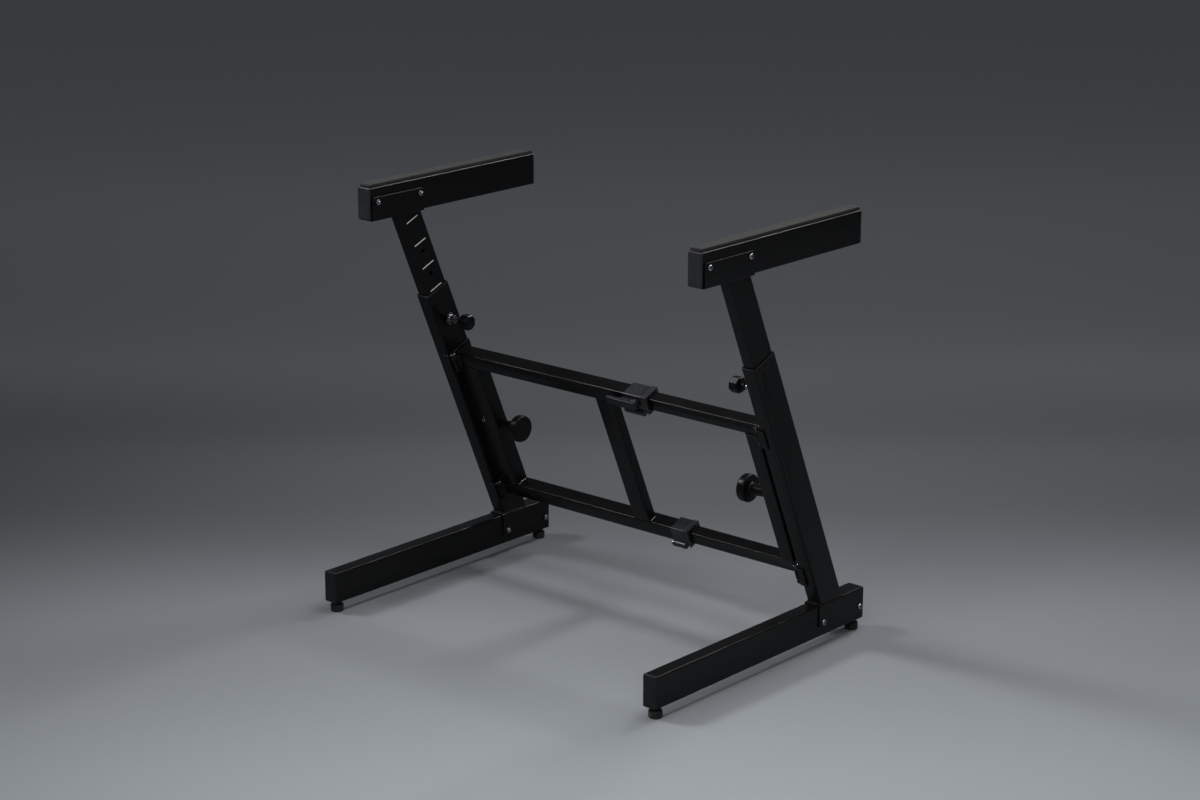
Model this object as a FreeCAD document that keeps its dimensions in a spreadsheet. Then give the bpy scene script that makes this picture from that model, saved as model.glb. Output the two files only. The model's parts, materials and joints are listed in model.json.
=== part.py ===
"""Z-style keyboard stand: two leaning legs joined by a telescoping frame, in millimetres.

The floor is z = 0, +X is the player's right, -Y is the player's side and +Z is up.
The origin is on the floor, below the middle of the stand.
"""
import math
import os
from types import SimpleNamespace

import FreeCAD, Part
import Sketcher

Vector = FreeCAD.Vector

# Every driving size, in millimetres unless its name says angle or count
SIZES = {
    # the whole stand
    "overrun": 1,               # how far a cut runs past the surface it opens
    "lean_angle": 23.1,         # degrees that posts and frame lean from upright
    "leg_spacing": 784,         # between the middles of the two legs
    "floor_clearance": 20,      # foot tube's underside above the floor
    "arm_rise": 716,            # arm tube's underside above the foot tube's underside
    # the rectangular tube of feet, outer posts and arms
    "leg_depth": 60,
    "leg_width": 30,
    "leg_wall": 1.5,
    "leg_corner": 3,            # outer corner radius
    "foot_length": 594,         # over both end caps
    "arm_length": 447,          # over both end caps
    # moulded end caps
    "cap_flange": 4,
    "cap_plug": 6,
    "cap_gap": 0.15,            # plug to bore, each side
    "cap_round": 1.5,
    # folded steel U brackets under the arms and over the feet
    "bracket_plate": 2.5,
    "bracket_length": 134,
    "bracket_side": 42,         # how far its sides reach along the tube
    "bracket_gap": 0.1,         # side to tube, each side
    "bracket_bend": 3,
    "bracket_round": 6,
    "bracket_front": 7,         # saddle's front end ahead of the post
    "bracket_back": 3.5,        # arm bracket's rear end behind the post
    "arm_front": 6,             # arm's front end ahead of its bracket
    # bracket bolts
    "bolt_diameter": 6,
    "bolt_gap": 0.2,
    "bolt_inset": 12,           # from a bracket's end
    "bolt_drop": 33,            # from a bracket's seat
    "bolt_head_diameter": 11,
    "bolt_head_height": 4,
    "bolt_tail": 2,             # thread past the nut
    "socket_flats": 4,
    "socket_depth": 2.5,
    "nut_flats": 10,
    "nut_height": 5,
    # telescoping posts
    "rim_rise": 526,            # along the post's front, foot top to the bush's top
    "bush_flange": 3,
    "bush_sleeve": 50,
    "bush_wall": 1.35,
    "bush_gap": 0.05,           # sleeve to outer post, each side
    "guide_gap": 0.1,           # sleeve to inner post, each side
    "inner_wall": 1.5,
    "inner_corner": 2.5,
    "inner_tail": 30,           # tube below the lowest hole
    "hole_pitch": 51,
    "holes_up_count": 3,        # holes above the one in use
    "holes_down_count": 3,      # holes below the one in use
    "hole_diameter": 9,
    "rivet_drop": 17,           # bush rivets below the rim
    "rivet_spread": 28,
    "rivet_diameter": 5,
    "rivet_depth": 0.8,
    # spring plunger
    "plunger_drop": 67,         # below the rim
    "plunger_spigot": 14,
    "spigot_gap": 0.1,
    "plunger_flats": 22,
    "plunger_hex": 8,
    "plunger_barrel": 16,
    "plunger_barrel_length": 12,
    "plunger_stem": 12,         # bare pin between barrel and knob
    "plunger_neck": 14,
    "plunger_neck_length": 8,
    "plunger_knob": 28,         # across flats
    "plunger_knob_length": 20,
    "knob_chamfer": 2,
    "pin_diameter": 8,
    "pin_gap": 0.06,            # running fit in the barrel, on the radius
    "pin_tip_gap": 0.3,         # tip to the inner post
    "pin_seat": 12,             # pin inside the knob
    "plunger_nose": 2,          # barrel's front wall, past the post's face
    "plunger_back": 2.5,        # barrel's rear wall
    "pin_shoulder": 2,
    "shoulder_gap": 0.3,
    "spring_wire": 1,
    "spring_gap": 0.6,          # spring to pin and to chamber
    "spring_end_gap": 0.3,
    "spring_turns_count": 4,
    # levelling feet
    "pad_diameter": 25,
    "pad_height": 14,
    "pad_rib": 0.8,
    "foot_neck": 14,
    "foot_gap": 0.5,            # neck to the tube when screwed right in
    "stem_diameter": 8,
    "stem_gap": 0.06,
    "stem_bolt_gap": 6.5,       # stem's top to the saddle bolts above it
    "stem_margin": 2,           # stem to the end cap's plug
    # arm pads
    "strip_thickness": 7,
    "strip_crown": 2.5,
    "strip_inset": 3,           # from the arm's ends
    "strip_margin": 2,          # from the arm's sides
    # frame tubes
    "bar_size": 30,
    "bar_wall": 2,
    "bar_corner": 2.5,
    "slider_size": 25,          # inner tube that slides in the bar
    "slider_corner": 2,
    "slider_insert": 214,       # slider inside the bar
    "upper_rise": 373,          # upper bar's middle along the post, from the foot's top
    "lower_rise": 61,
    "bar_length": 457,
    "side_gap": 21,             # post to side member
    "strut_width": 40,
    "strut_depth": 20,
    "strut_distance": 90,       # strut's middle from the bar's open end
    # leg hinges
    "hinge_plate": 3,
    "hinge_clear": 1,
    "hinge_depth": 4,           # axis behind the post's front
    "hinge_flange": 12,         # leaf's grip on the post's front
    "hinge_below": 5,
    "hinge_above": 4,
    "knuckle": 10,
    "knuckle_gap": 0.3,
    "hinge_pin": 6,
    "hinge_pin_gap": 0.05,
    "pin_head": 10,
    "pin_head_height": 3,
    # leg clamps
    "stud_diameter": 10,
    "stud_gap": 0.05,
    "stud_hole_gap": 0.4,
    "stud_tip_gap": 0.3,
    "stud_seat": 14,            # stud inside the knob's disc
    "clamp_nut_flats": 17,
    "clamp_nut_height": 6,
    "clamp_gap": 1,             # knob's neck to the side member
    "clamp_neck_near": 17,
    "clamp_neck_far": 23,
    "clamp_neck_length": 36,
    "clamp_knob": 52,
    "clamp_knob_thickness": 18,
    "clamp_round": 4,
    # frame collars
    "collar_wall": 3,
    "collar_gap": 0.1,
    "collar_round": 2,
    "collar_reach": 24,         # past the bar's open end
    "upper_collar_grip": 31,    # on the bar
    "lower_collar_grip": 17,
    "rim_proud": 1,
    "rim_width": 3.5,
    "rim_step": 7.5,
    "bead_diameter": 12,
    "screw_diameter": 6,
    "screw_gap": 0.1,
    "screw_head": 9,
    "screw_head_height": 4,
    # cam lever
    "lever_stand_off": 7,       # pivot ahead of the collar's front
    "lever_hub": 13.4,
    "lever_block": 32,          # as thick as the hub, from the pivot
    "lever_length": 65,
    "lever_thickness": 7.6,     # of the arm past the block
    "lever_height": 16,
    "lever_rise": 3,            # lever's middle above the bar's middle
    "lever_round": 1.2,
    "lug_height": 8,
    "lug_width": 10,
    "lug_gap": 0.3,
    "lever_pin": 5,
    "lever_pin_gap": 0.05,
    "lever_pin_head": 8,
    "lever_pin_head_height": 2,
}

# Lever arm's outline: shares of its length from the pivot, of its thickness from the hub's front
LEVER_SHARES = ((0.93, 0.20), (1.0, 0.38), (1.0, 0.82), (0.95, 1.10), (0.53, 1.08))
# Levelling foot's profile: shares of the pad's height, two to a rib and two to a groove in turn
RIB_SHARES = (0.10, 0.24, 0.32, 0.46, 0.54, 0.68, 0.76, 0.90)

doc = FreeCAD.newDocument("keyboard_stand")
sheet = doc.addObject("Spreadsheet::Sheet", "Sizes")
for row, (name, value) in enumerate(SIZES.items(), start=1):
    sheet.set("A%d" % row, name)
    sheet.set("B%d" % row, str(value))
    sheet.setAlias("B%d" % row, name)
doc.recompute()


class Size:
    """A value together with the sheet formula that gives it."""

    def __init__(self, value, text):
        self.value = float(value)
        self.text = text

    @staticmethod
    def of(other):
        return other if isinstance(other, Size) else Size(other, repr(other))

    def _join(self, other, sign, value):
        return Size(value, "(%s %s %s)" % (self.text, sign, Size.of(other).text))

    def __add__(self, other):
        return self._join(other, "+", self.value + Size.of(other).value)

    def __sub__(self, other):
        return self._join(other, "-", self.value - Size.of(other).value)

    def __mul__(self, other):
        return self._join(other, "*", self.value * Size.of(other).value)

    def __truediv__(self, other):
        return self._join(other, "/", self.value / Size.of(other).value)

    def __neg__(self):
        return Size(-self.value, "(0 - %s)" % self.text)

    def __radd__(self, other):
        return Size.of(other) + self

    def __rsub__(self, other):
        return Size.of(other) - self

    def __rmul__(self, other):
        return Size.of(other) * self


ZERO = Size(0, "0")
s = SimpleNamespace(**{name: Size(sheet.get(name), "Sizes." + name) for name in SIZES})


def tan_of(angle):
    return Size(math.tan(math.radians(angle.value)), "tan(%s * 1 deg)" % angle.text)


def cos_of(angle):
    return Size(math.cos(math.radians(angle.value)), "cos(%s * 1 deg)" % angle.text)


def sin_of(angle):
    return Size(math.sin(math.radians(angle.value)), "sin(%s * 1 deg)" % angle.text)


# Outlines that a sketch can draw

class Polygon:
    """A closed outline through points given as pairs of sizes."""

    def __init__(self, *points):
        self.points = [(Size.of(x), Size.of(y)) for x, y in points]

    def draw(self, sketch):
        first = sketch.GeometryCount
        count = len(self.points)
        for index, (x, y) in enumerate(self.points):
            end_x, end_y = self.points[(index + 1) % count]
            start, end = Vector(x.value, y.value, 0), Vector(end_x.value, end_y.value, 0)
            sketch.addGeometry(Part.LineSegment(start, end), False)
        for index in range(count):
            after = first + (index + 1) % count
            sketch.addConstraint(Sketcher.Constraint("Coincident", first + index, 2, after, 1))
        for index, (x, y) in enumerate(self.points):
            hold_point(sketch, first + index, 1, x, y)


class Circle:
    """A full circle, by its centre and diameter."""

    def __init__(self, x, y, diameter):
        self.x, self.y, self.diameter = Size.of(x), Size.of(y), Size.of(diameter)

    def draw(self, sketch):
        centre = Vector(self.x.value, self.y.value, 0)
        curve = Part.Circle(centre, Vector(0, 0, 1), self.diameter.value / 2)
        index = sketch.addGeometry(curve, False)
        hold_point(sketch, index, 3, self.x, self.y)
        held = sketch.addConstraint(Sketcher.Constraint("Diameter", index, self.diameter.value))
        name_constraint(sketch, held, self.diameter)


def name_constraint(sketch, index, size):
    """Binds a constraint to the formula of its size."""
    name = "held%d" % index
    sketch.renameConstraint(index, name)
    sketch.setExpression("Constraints." + name, size.text)


def hold_point(sketch, geometry, point, x, y):
    """Fixes a point of a sketch by its two sizes from the origin."""
    for kind, axis, size in (("DistanceX", -2, x), ("DistanceY", -1, y)):
        if size.text == "0":
            sketch.addConstraint(Sketcher.Constraint("PointOnObject", geometry, point, axis))
            continue
        held = sketch.addConstraint(Sketcher.Constraint(kind, -1, 1, geometry, point, size.value))
        name_constraint(sketch, held, size)


def rectangle(x_low, x_high, y_low, y_high):
    return Polygon((x_low, y_low), (x_high, y_low), (x_high, y_high), (x_low, y_high))


def hexagon(x, y, flats):
    """A hexagon across its flats, with two corners on the first axis."""
    return regular(x, y, flats, 6, 0)


def regular(x, y, flats, count, turn):
    """A regular outline across its flats, turned by a share of its step."""
    reach = flats / (2 * math.cos(math.pi / count))
    angles = [2 * math.pi * (index + turn) / count for index in range(count)]
    return Polygon(*[(x + reach * math.cos(a), y + reach * math.sin(a)) for a in angles])


# Bodies and their features

nodes = []
unit_names = {"count": 0}


def unique(word):
    unit_names["count"] += 1
    return "%s_%d" % (word, unit_names["count"])


def place(item, x=ZERO, y=ZERO, z=ZERO, lean=None):
    """Puts an object in the stand's frame, leaning with the posts if asked."""
    if lean is not None:
        turn = FreeCAD.Rotation(Vector(1, 0, 0), lean.value)
        item.Placement = FreeCAD.Placement(Vector(0, 0, 0), turn)
        item.setExpression("Placement.Rotation.Angle", lean.text)
    for letter, size in (("x", x), ("y", y), ("z", z)):
        if size.text != "0":
            item.setExpression("Placement.Base." + letter, size.text)


def new_body(label, where, node=True):
    body = doc.addObject("PartDesign::Body", unique("body"))
    body.Label = label
    place(body, **where)
    if node:
        nodes.append(body)
    return body


def sketch_on(body, role, outlines, offset=ZERO):
    """A sketch on one of the body's own origin planes, moved along its normal."""
    sketch = body.newObject("Sketcher::SketchObject", unique("sketch"))
    plane = [item for item in body.Origin.OriginFeatures if item.Role == role][0]
    sketch.AttachmentSupport = [(plane, "")]
    sketch.MapMode = "FlatFace"
    if offset.text != "0":
        sketch.setExpression("AttachmentOffset.Base.z", offset.text)
    for outline in outlines:
        outline.draw(sketch)
    return sketch


def pad(body, role, outlines, length, offset=ZERO, middle=False, back=False):
    """Adds an extrusion, from its plane or about it."""
    feature = body.newObject("PartDesign::Pad", unique("pad"))
    feature.Profile = sketch_on(body, role, outlines, offset)
    feature.setExpression("Length", length.text)
    feature.SideType = "Symmetric" if middle else "One side"
    feature.Reversed = back
    doc.recompute()
    return feature


def pocket(body, role, outlines, length, offset=ZERO, middle=False, back=False):
    """Takes an extrusion away and makes sure that it took something."""
    before = body.Shape.Volume
    feature = body.newObject("PartDesign::Pocket", unique("pocket"))
    feature.Profile = sketch_on(body, role, outlines, offset)
    feature.setExpression("Length", length.text)
    feature.SideType = "Symmetric" if middle else "One side"
    feature.Reversed = back
    doc.recompute()
    if body.Shape.Volume >= before:
        raise RuntimeError("a cut in %s takes nothing away" % body.Label)
    return feature


def revolve(body, role, outlines, axis):
    """Adds a full turn of an outline about one axis of its own sketch."""
    feature = body.newObject("PartDesign::Revolution", unique("turned"))
    sketch = sketch_on(body, role, outlines)
    feature.Profile = sketch
    feature.ReferenceAxis = (sketch, [axis])
    feature.Angle = 360
    doc.recompute()
    return feature


def round_edges(body, radius, wanted):
    """Rounds the straight or curved edges that a test picks."""
    doc.recompute()
    base = body.Tip
    names = ["Edge%d" % (i + 1) for i, edge in enumerate(base.Shape.Edges) if wanted(edge)]
    if not names:
        raise RuntimeError("no edge of %s to round" % body.Label)
    feature = body.newObject("PartDesign::Fillet", unique("rounded"))
    feature.Base = (base, names)
    feature.setExpression("Radius", radius.text)
    doc.recompute()
    return feature


def runs_along(edge, axis):
    """Whether an edge is straight and parallel to an axis."""
    if edge.Curve.TypeId != "Part::GeomLine":
        return False
    return edge.Curve.Direction.cross(axis).Length < Part.Precision.approximation()


def near(value, target):
    return abs(value - target.value) < 10 * Part.Precision.confusion()


AXES = {"x": Vector(1, 0, 0), "y": Vector(0, 1, 0), "z": Vector(0, 0, 1)}


def corner_edges(axis, **limits):
    """Picks edges along an axis whose other two coordinates are both at given limits."""
    def wanted(edge):
        if not runs_along(edge, AXES[axis]):
            return False
        middle = edge.CenterOfMass
        return all(any(near(getattr(middle, letter), size) for size in sizes)
                   for letter, sizes in limits.items())
    return wanted


def mirrored(source, label, normal=Vector(1, 0, 0)):
    """The same piece on the other side of the stand's middle plane."""
    copy = doc.addObject("Part::Mirroring", unique("mirrored"))
    copy.Source = source
    copy.Base = Vector(0, 0, 0)
    copy.Normal = normal
    copy.Label = label
    return copy


def group(label, members):
    """Several like solids that make one node."""
    bundle = doc.addObject("Part::Compound", unique("group"))
    bundle.Links = members
    bundle.Label = label
    nodes.append(bundle)
    return bundle


# Places that several pieces share
leg_x = -(s.leg_spacing / 2)
foot_top = s.floor_clearance + s.leg_depth
arm_bottom = s.floor_clearance + s.arm_rise
saddle_middle = s.foot_length / 2 - s.cap_flange - s.bracket_length / 2
post_front = saddle_middle - s.bracket_length / 2 + s.bracket_front
leaning_leg = dict(x=leg_x, y=post_front, z=foot_top, lean=s.lean_angle)
leaning_frame = dict(y=post_front, z=foot_top, lean=s.lean_angle)
post_middle = s.leg_depth / 2
half_leg = s.leg_width / 2
bush_inset = s.leg_wall + s.bush_gap
slide_inset = bush_inset + s.bush_wall
inner_inset = slide_inset + s.guide_gap
half_inner = half_leg - inner_inset
tilt, upright, sideways = tan_of(s.lean_angle), cos_of(s.lean_angle), sin_of(s.lean_angle)


def along_post(height, across):
    """Where a level above the foot's top cuts a line of the post, measured along it."""
    return height / upright - across * tilt


inner_front = inner_inset
inner_back = s.leg_depth - inner_inset
post_top = arm_bottom - foot_top - s.bracket_plate
back_top = along_post(post_top, inner_back)
arm_bracket_rear = post_front - back_top * sideways + inner_back * upright + s.bracket_back
arm_bracket_middle = arm_bracket_rear - s.bracket_length / 2
arm_middle = arm_bracket_middle - s.bracket_length / 2 - s.arm_front + s.arm_length / 2
bolt_reach = s.bracket_length / 2 - s.bolt_inset
foot_tube_length = s.foot_length - 2 * s.cap_flange
arm_tube_length = s.arm_length - 2 * s.cap_flange
foot_reach = s.foot_length / 2 - s.cap_flange - s.cap_plug - s.stem_margin - s.stem_diameter / 2
plunger_rise = s.rim_rise - s.plunger_drop
bolt_hole = s.bolt_diameter + 2 * s.bolt_gap


# Feet and arms

def leg_tube(label, length, where):
    """A level rectangular tube, its underside at the body's origin."""
    body = new_body(label, where)
    outer = rectangle(-half_leg, half_leg, ZERO, s.leg_depth)
    bore = rectangle(s.leg_wall - half_leg, half_leg - s.leg_wall,
                     s.leg_wall, s.leg_depth - s.leg_wall)
    pad(body, "XZ_Plane", [outer, bore], length, middle=True)
    round_edges(body, s.leg_corner, corner_edges("y", x=(-half_leg, half_leg), z=(ZERO, s.leg_depth)))
    return body


def drill_bolts(body, middle, height):
    """Two bolt holes straight across a tube or bracket."""
    holes = [Circle(middle + bolt_reach, height, bolt_hole),
             Circle(middle - bolt_reach, height, bolt_hole)]
    across = s.leg_width + 2 * (s.bracket_gap + s.bracket_plate + s.overrun)
    pocket(body, "YZ_Plane", holes, across, middle=True)


foot_place = dict(x=leg_x, z=s.floor_clearance)
foot_tube = leg_tube("left_foot_tube", foot_tube_length, foot_place)
drill_bolts(foot_tube, saddle_middle, s.leg_depth - s.bolt_drop)
stem_hole = s.stem_diameter + 2 * s.stem_gap
stem_holes = [Circle(ZERO, foot_reach, stem_hole), Circle(ZERO, -foot_reach, stem_hole)]
pocket(foot_tube, "XY_Plane", stem_holes, s.leg_wall + 2 * s.overrun, offset=-s.overrun, back=True)

arm_place = dict(x=leg_x, y=arm_middle, z=arm_bottom)
arm_tube = leg_tube("left_arm_tube", arm_tube_length, arm_place)
drill_bolts(arm_tube, arm_bracket_middle - arm_middle, s.bolt_drop)


def end_cap(length, where, back=False):
    """A moulded cap whose plug fits the tube's bore."""
    body = new_body(unique("cap"), where, node=False)
    flange = rectangle(-half_leg, half_leg, ZERO, s.leg_depth)
    inset = s.leg_wall + s.cap_gap
    plug = rectangle(inset - half_leg, half_leg - inset, inset, s.leg_depth - inset)
    face = length / 2
    # the section plane's normal points to the front, so the rear cap is drawn at minus its face
    outer = -face if back else face
    pad(body, "XZ_Plane", [flange], s.cap_flange, offset=outer, back=not back)
    corners = (-half_leg, half_leg)
    round_edges(body, s.leg_corner, corner_edges("y", x=corners, z=(ZERO, s.leg_depth)))
    front = face if back else -face

    def on_face(edge):
        box = edge.BoundBox
        return near(box.YMin, front) and near(box.YMax, front)

    round_edges(body, s.cap_round, on_face)
    seat = s.cap_flange - face if back else face - s.cap_flange
    pad(body, "XZ_Plane", [plug], s.cap_plug, offset=seat, back=not back)
    return body


group("left_foot_caps", [end_cap(s.foot_length, foot_place),
                         end_cap(s.foot_length, foot_place, back=True)])
group("left_arm_caps", [end_cap(s.arm_length, arm_place),
                        end_cap(s.arm_length, arm_place, back=True)])

# Soft strip along the whole arm, with a crowned top
strip = new_body("left_arm_pad", dict(x=leg_x, y=arm_middle, z=arm_bottom + s.leg_depth))
strip_top = s.strip_thickness
half_strip = half_leg - s.strip_margin
strip_section = rectangle(-half_strip, half_strip, ZERO, strip_top)
strip_length = s.arm_length - 2 * s.strip_inset
pad(strip, "XZ_Plane", [strip_section], strip_length, middle=True)


def on_strip_top(edge):
    return near(edge.BoundBox.ZMin, strip_top) and near(edge.BoundBox.ZMax, strip_top)


round_edges(strip, s.strip_crown, on_strip_top)


# Folded brackets and their bolts

def u_bracket(label, where, sign):
    """A folded channel with its seat plate at the origin and its sides towards the tube."""
    body = new_body(label, where)
    inner = half_leg + s.bracket_gap
    outer = inner + s.bracket_plate
    back, end = -sign * s.bracket_plate, sign * s.bracket_side
    section = Polygon((-outer, end), (-outer, back), (outer, back), (outer, end),
                      (inner, end), (inner, ZERO), (-inner, ZERO), (-inner, end))
    pad(body, "XZ_Plane", [section], s.bracket_length, middle=True)
    round_edges(body, s.bracket_bend, corner_edges("y", x=(-outer, outer), z=(back,)))
    half = s.bracket_length / 2
    round_edges(body, s.bracket_round, corner_edges("x", y=(-half, half), z=(end,)))
    drill_bolts(body, ZERO, sign * s.bolt_drop)
    return body


saddle_place = dict(x=leg_x, y=saddle_middle, z=foot_top)
saddle = u_bracket("left_saddle_bracket", saddle_place, Size(-1, "(0 - 1)"))
arm_bracket_place = dict(x=leg_x, y=arm_bracket_middle, z=arm_bottom)
arm_bracket = u_bracket("left_arm_bracket", arm_bracket_place, Size(1, "1"))


def bolt_and_nut(where, reach, height):
    """One bolt with its head outside the leg, and its nut inside it."""
    grip = half_leg + s.bracket_gap + s.bracket_plate
    bolt = new_body(unique("bolt"), where, node=False)
    head = [Circle(reach, height, s.bolt_head_diameter)]
    pad(bolt, "YZ_Plane", head, s.bolt_head_height, offset=-grip, back=True)
    rim = -grip - s.bolt_head_height

    def on_crown(edge):
        return near(edge.BoundBox.XMin, rim) and near(edge.BoundBox.XMax, rim)

    round_edges(bolt, s.bolt_head_height / 2, on_crown)
    length = 2 * grip + s.nut_height + s.bolt_tail
    pad(bolt, "YZ_Plane", [Circle(reach, height, s.bolt_diameter)], length, offset=-grip)
    key = [hexagon(reach, height, s.socket_flats)]
    pocket(bolt, "YZ_Plane", key, s.socket_depth + s.overrun, offset=rim - s.overrun, back=True)
    nut = new_body(unique("nut"), where, node=False)
    bore = Circle(reach, height, s.bolt_diameter)
    pad(nut, "YZ_Plane", [hexagon(reach, height, s.nut_flats), bore], s.nut_height, offset=grip)
    return [bolt, nut]


saddle_bolts = []
arm_bolts = []
for reach in (bolt_reach, -bolt_reach):
    saddle_bolts += bolt_and_nut(saddle_place, reach, -s.bolt_drop)
    arm_bolts += bolt_and_nut(arm_bracket_place, reach, s.bolt_drop)
saddle_fasteners = group("left_saddle_fasteners", saddle_bolts)
arm_fasteners = group("left_arm_fasteners", arm_bolts)

# Outer post, cut level where it stands on the saddle
outer_post = new_body("left_outer_post", leaning_leg)
tube_top = s.rim_rise - s.bush_flange
outline = Polygon((ZERO, along_post(s.bracket_plate, ZERO)),
                  (s.leg_depth, along_post(s.bracket_plate, s.leg_depth)),
                  (s.leg_depth, tube_top), (ZERO, tube_top))
pad(outer_post, "YZ_Plane", [outline], s.leg_width, middle=True)
round_edges(outer_post, s.leg_corner,
            corner_edges("z", x=(-half_leg, half_leg), y=(ZERO, s.leg_depth)))
bore = rectangle(s.leg_wall - half_leg, half_leg - s.leg_wall,
                 s.leg_wall, s.leg_depth - s.leg_wall)
pocket(outer_post, "XY_Plane", [bore], 2 * (s.rim_rise + s.leg_depth), middle=True)
spigot_hole = Circle(post_middle, plunger_rise, s.plunger_spigot + 2 * s.spigot_gap)
pocket(outer_post, "YZ_Plane", [spigot_hole], s.leg_wall + 2 * s.overrun,
       offset=half_leg + s.overrun)
rivet_rise = s.rim_rise - s.rivet_drop
rivets = [Circle(post_middle - s.rivet_spread / 2, rivet_rise, s.rivet_diameter),
          Circle(post_middle + s.rivet_spread / 2, rivet_rise, s.rivet_diameter)]
dent = s.rivet_depth + s.overrun
pocket(outer_post, "YZ_Plane", rivets, dent, offset=half_leg + s.overrun)
pocket(outer_post, "YZ_Plane", rivets, dent, offset=-half_leg - s.overrun, back=True)

# Guide bush in the outer post's mouth
bush = new_body("left_guide_bush", leaning_leg)
flange = rectangle(-half_leg, half_leg, ZERO, s.leg_depth)
pad(bush, "XY_Plane", [flange], s.bush_flange, offset=tube_top)
round_edges(bush, s.leg_corner, corner_edges("z", x=(-half_leg, half_leg), y=(ZERO, s.leg_depth)))
sleeve = rectangle(bush_inset - half_leg, half_leg - bush_inset,
                   bush_inset, s.leg_depth - bush_inset)
pad(bush, "XY_Plane", [sleeve], s.bush_sleeve, offset=tube_top, back=True)
mouth = rectangle(slide_inset - half_leg, half_leg - slide_inset,
                  slide_inset, s.leg_depth - slide_inset)
pocket(bush, "XY_Plane", [mouth], s.bush_sleeve + s.bush_flange + 2 * s.overrun,
       offset=s.rim_rise + s.overrun)

# Inner post, cut level under the arm's bracket
inner_post = new_body("left_inner_post", leaning_leg)
inner_foot = plunger_rise - s.holes_down_count * s.hole_pitch - s.inner_tail
outline = Polygon((inner_front, inner_foot), (inner_back, inner_foot),
                  (inner_back, back_top), (inner_front, along_post(post_top, inner_front)))
pad(inner_post, "YZ_Plane", [outline], 2 * half_inner, middle=True)
round_edges(inner_post, s.inner_corner,
            corner_edges("z", x=(-half_inner, half_inner), y=(inner_front, inner_back)))
bore = rectangle(s.inner_wall - half_inner, half_inner - s.inner_wall,
                 inner_front + s.inner_wall, inner_back - s.inner_wall)
pocket(inner_post, "XY_Plane", [bore], 2 * (s.rim_rise + s.arm_rise), middle=True)
steps = range(-int(s.holes_down_count.value), int(s.holes_up_count.value) + 1)
holes = [Circle(post_middle, plunger_rise + step * s.hole_pitch, s.hole_diameter)
         for step in steps]
pocket(inner_post, "YZ_Plane", holes, s.inner_wall + 2 * s.overrun, offset=half_inner + s.overrun)

# Spring plunger on the post's inner face
plunger_body = new_body("left_plunger_body", leaning_leg)
hex_end = half_leg + s.plunger_hex
barrel_end = hex_end + s.plunger_barrel_length
pad(plunger_body, "YZ_Plane", [hexagon(post_middle, plunger_rise, s.plunger_flats)],
    s.plunger_hex, offset=half_leg)
pad(plunger_body, "YZ_Plane", [Circle(post_middle, plunger_rise, s.plunger_barrel)],
    s.plunger_barrel_length, offset=hex_end)
pad(plunger_body, "YZ_Plane", [Circle(post_middle, plunger_rise, s.plunger_spigot)],
    s.leg_wall, offset=half_leg, back=True)
pin_bore = Circle(post_middle, plunger_rise, s.pin_diameter + 2 * s.pin_gap)
pocket(plunger_body, "YZ_Plane", [pin_bore], barrel_end - half_leg + s.leg_wall + 2 * s.overrun,
       offset=barrel_end + s.overrun)
chamber_start = half_leg + s.plunger_nose
chamber_end = barrel_end - s.plunger_back
chamber = s.pin_diameter + 2 * (s.spring_gap + s.spring_wire + s.spring_gap)
pocket(plunger_body, "YZ_Plane", [Circle(post_middle, plunger_rise, chamber)],
       chamber_end - chamber_start, offset=chamber_end)

neck_start = barrel_end + s.plunger_stem
knob_start = neck_start + s.plunger_neck_length
plunger_pin = new_body("left_plunger_pin", leaning_leg)
pin_start = half_inner + s.pin_tip_gap
pad(plunger_pin, "YZ_Plane", [Circle(post_middle, plunger_rise, s.pin_diameter)],
    neck_start + s.pin_seat - pin_start, offset=pin_start)
shoulder_start = chamber_start + s.shoulder_gap
pad(plunger_pin, "YZ_Plane", [Circle(post_middle, plunger_rise, chamber - 2 * s.shoulder_gap)],
    s.pin_shoulder, offset=shoulder_start)

# Plunger spring, wound round the pin between its shoulder and the barrel's rear wall
plunger_axis = dict(x=leg_x, y=post_front - plunger_rise * sideways + post_middle * upright,
                    z=foot_top + plunger_rise * upright + post_middle * sideways)
spring = new_body("left_plunger_spring", plunger_axis)
coil_start = shoulder_start + s.pin_shoulder + s.spring_end_gap + s.spring_wire / 2
coil_end = chamber_end - s.spring_end_gap - s.spring_wire / 2
coil_radius = s.pin_diameter / 2 + s.spring_gap + s.spring_wire / 2
coil_pitch = (coil_end - coil_start) / s.spring_turns_count
wire = sketch_on(spring, "XZ_Plane", [Circle(coil_start, coil_radius, s.spring_wire)])
coil = spring.newObject("PartDesign::AdditiveHelix", unique("coil"))
coil.Profile = wire
coil.ReferenceAxis = (wire, ["H_Axis"])
coil.Mode = "pitch-height-angle"
coil.setExpression("Pitch", coil_pitch.text)
coil.setExpression("Height", (coil_end - coil_start).text)
doc.recompute()


def least_coil_gap(radius, pitch, turns, wire):
    """The least gap between points of neighbouring turns of a coil's wire."""
    per_turn = 48
    points = []
    for index in range(int(turns.value * per_turn) + 1):
        angle = 2 * math.pi * index / per_turn
        points.append(Vector(pitch.value * index / per_turn,
                             radius.value * math.cos(angle), radius.value * math.sin(angle)))
    return min((points[j] - points[i]).Length
               for i in range(len(points)) for j in range(i + per_turn // 2, len(points))) - wire.value


spring_gap = least_coil_gap(coil_radius, coil_pitch, s.spring_turns_count, s.spring_wire)
print("plunger spring: least gap to itself %.2f mm" % spring_gap)
plunger_knob = new_body("left_plunger_knob", leaning_leg)
pad(plunger_knob, "YZ_Plane", [regular(post_middle, plunger_rise, s.plunger_knob, 8, 0.5)],
    s.plunger_knob_length, offset=knob_start)


def knob_ends(edge):
    box = edge.BoundBox
    return near(box.XMin - box.XMax, ZERO)


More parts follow.
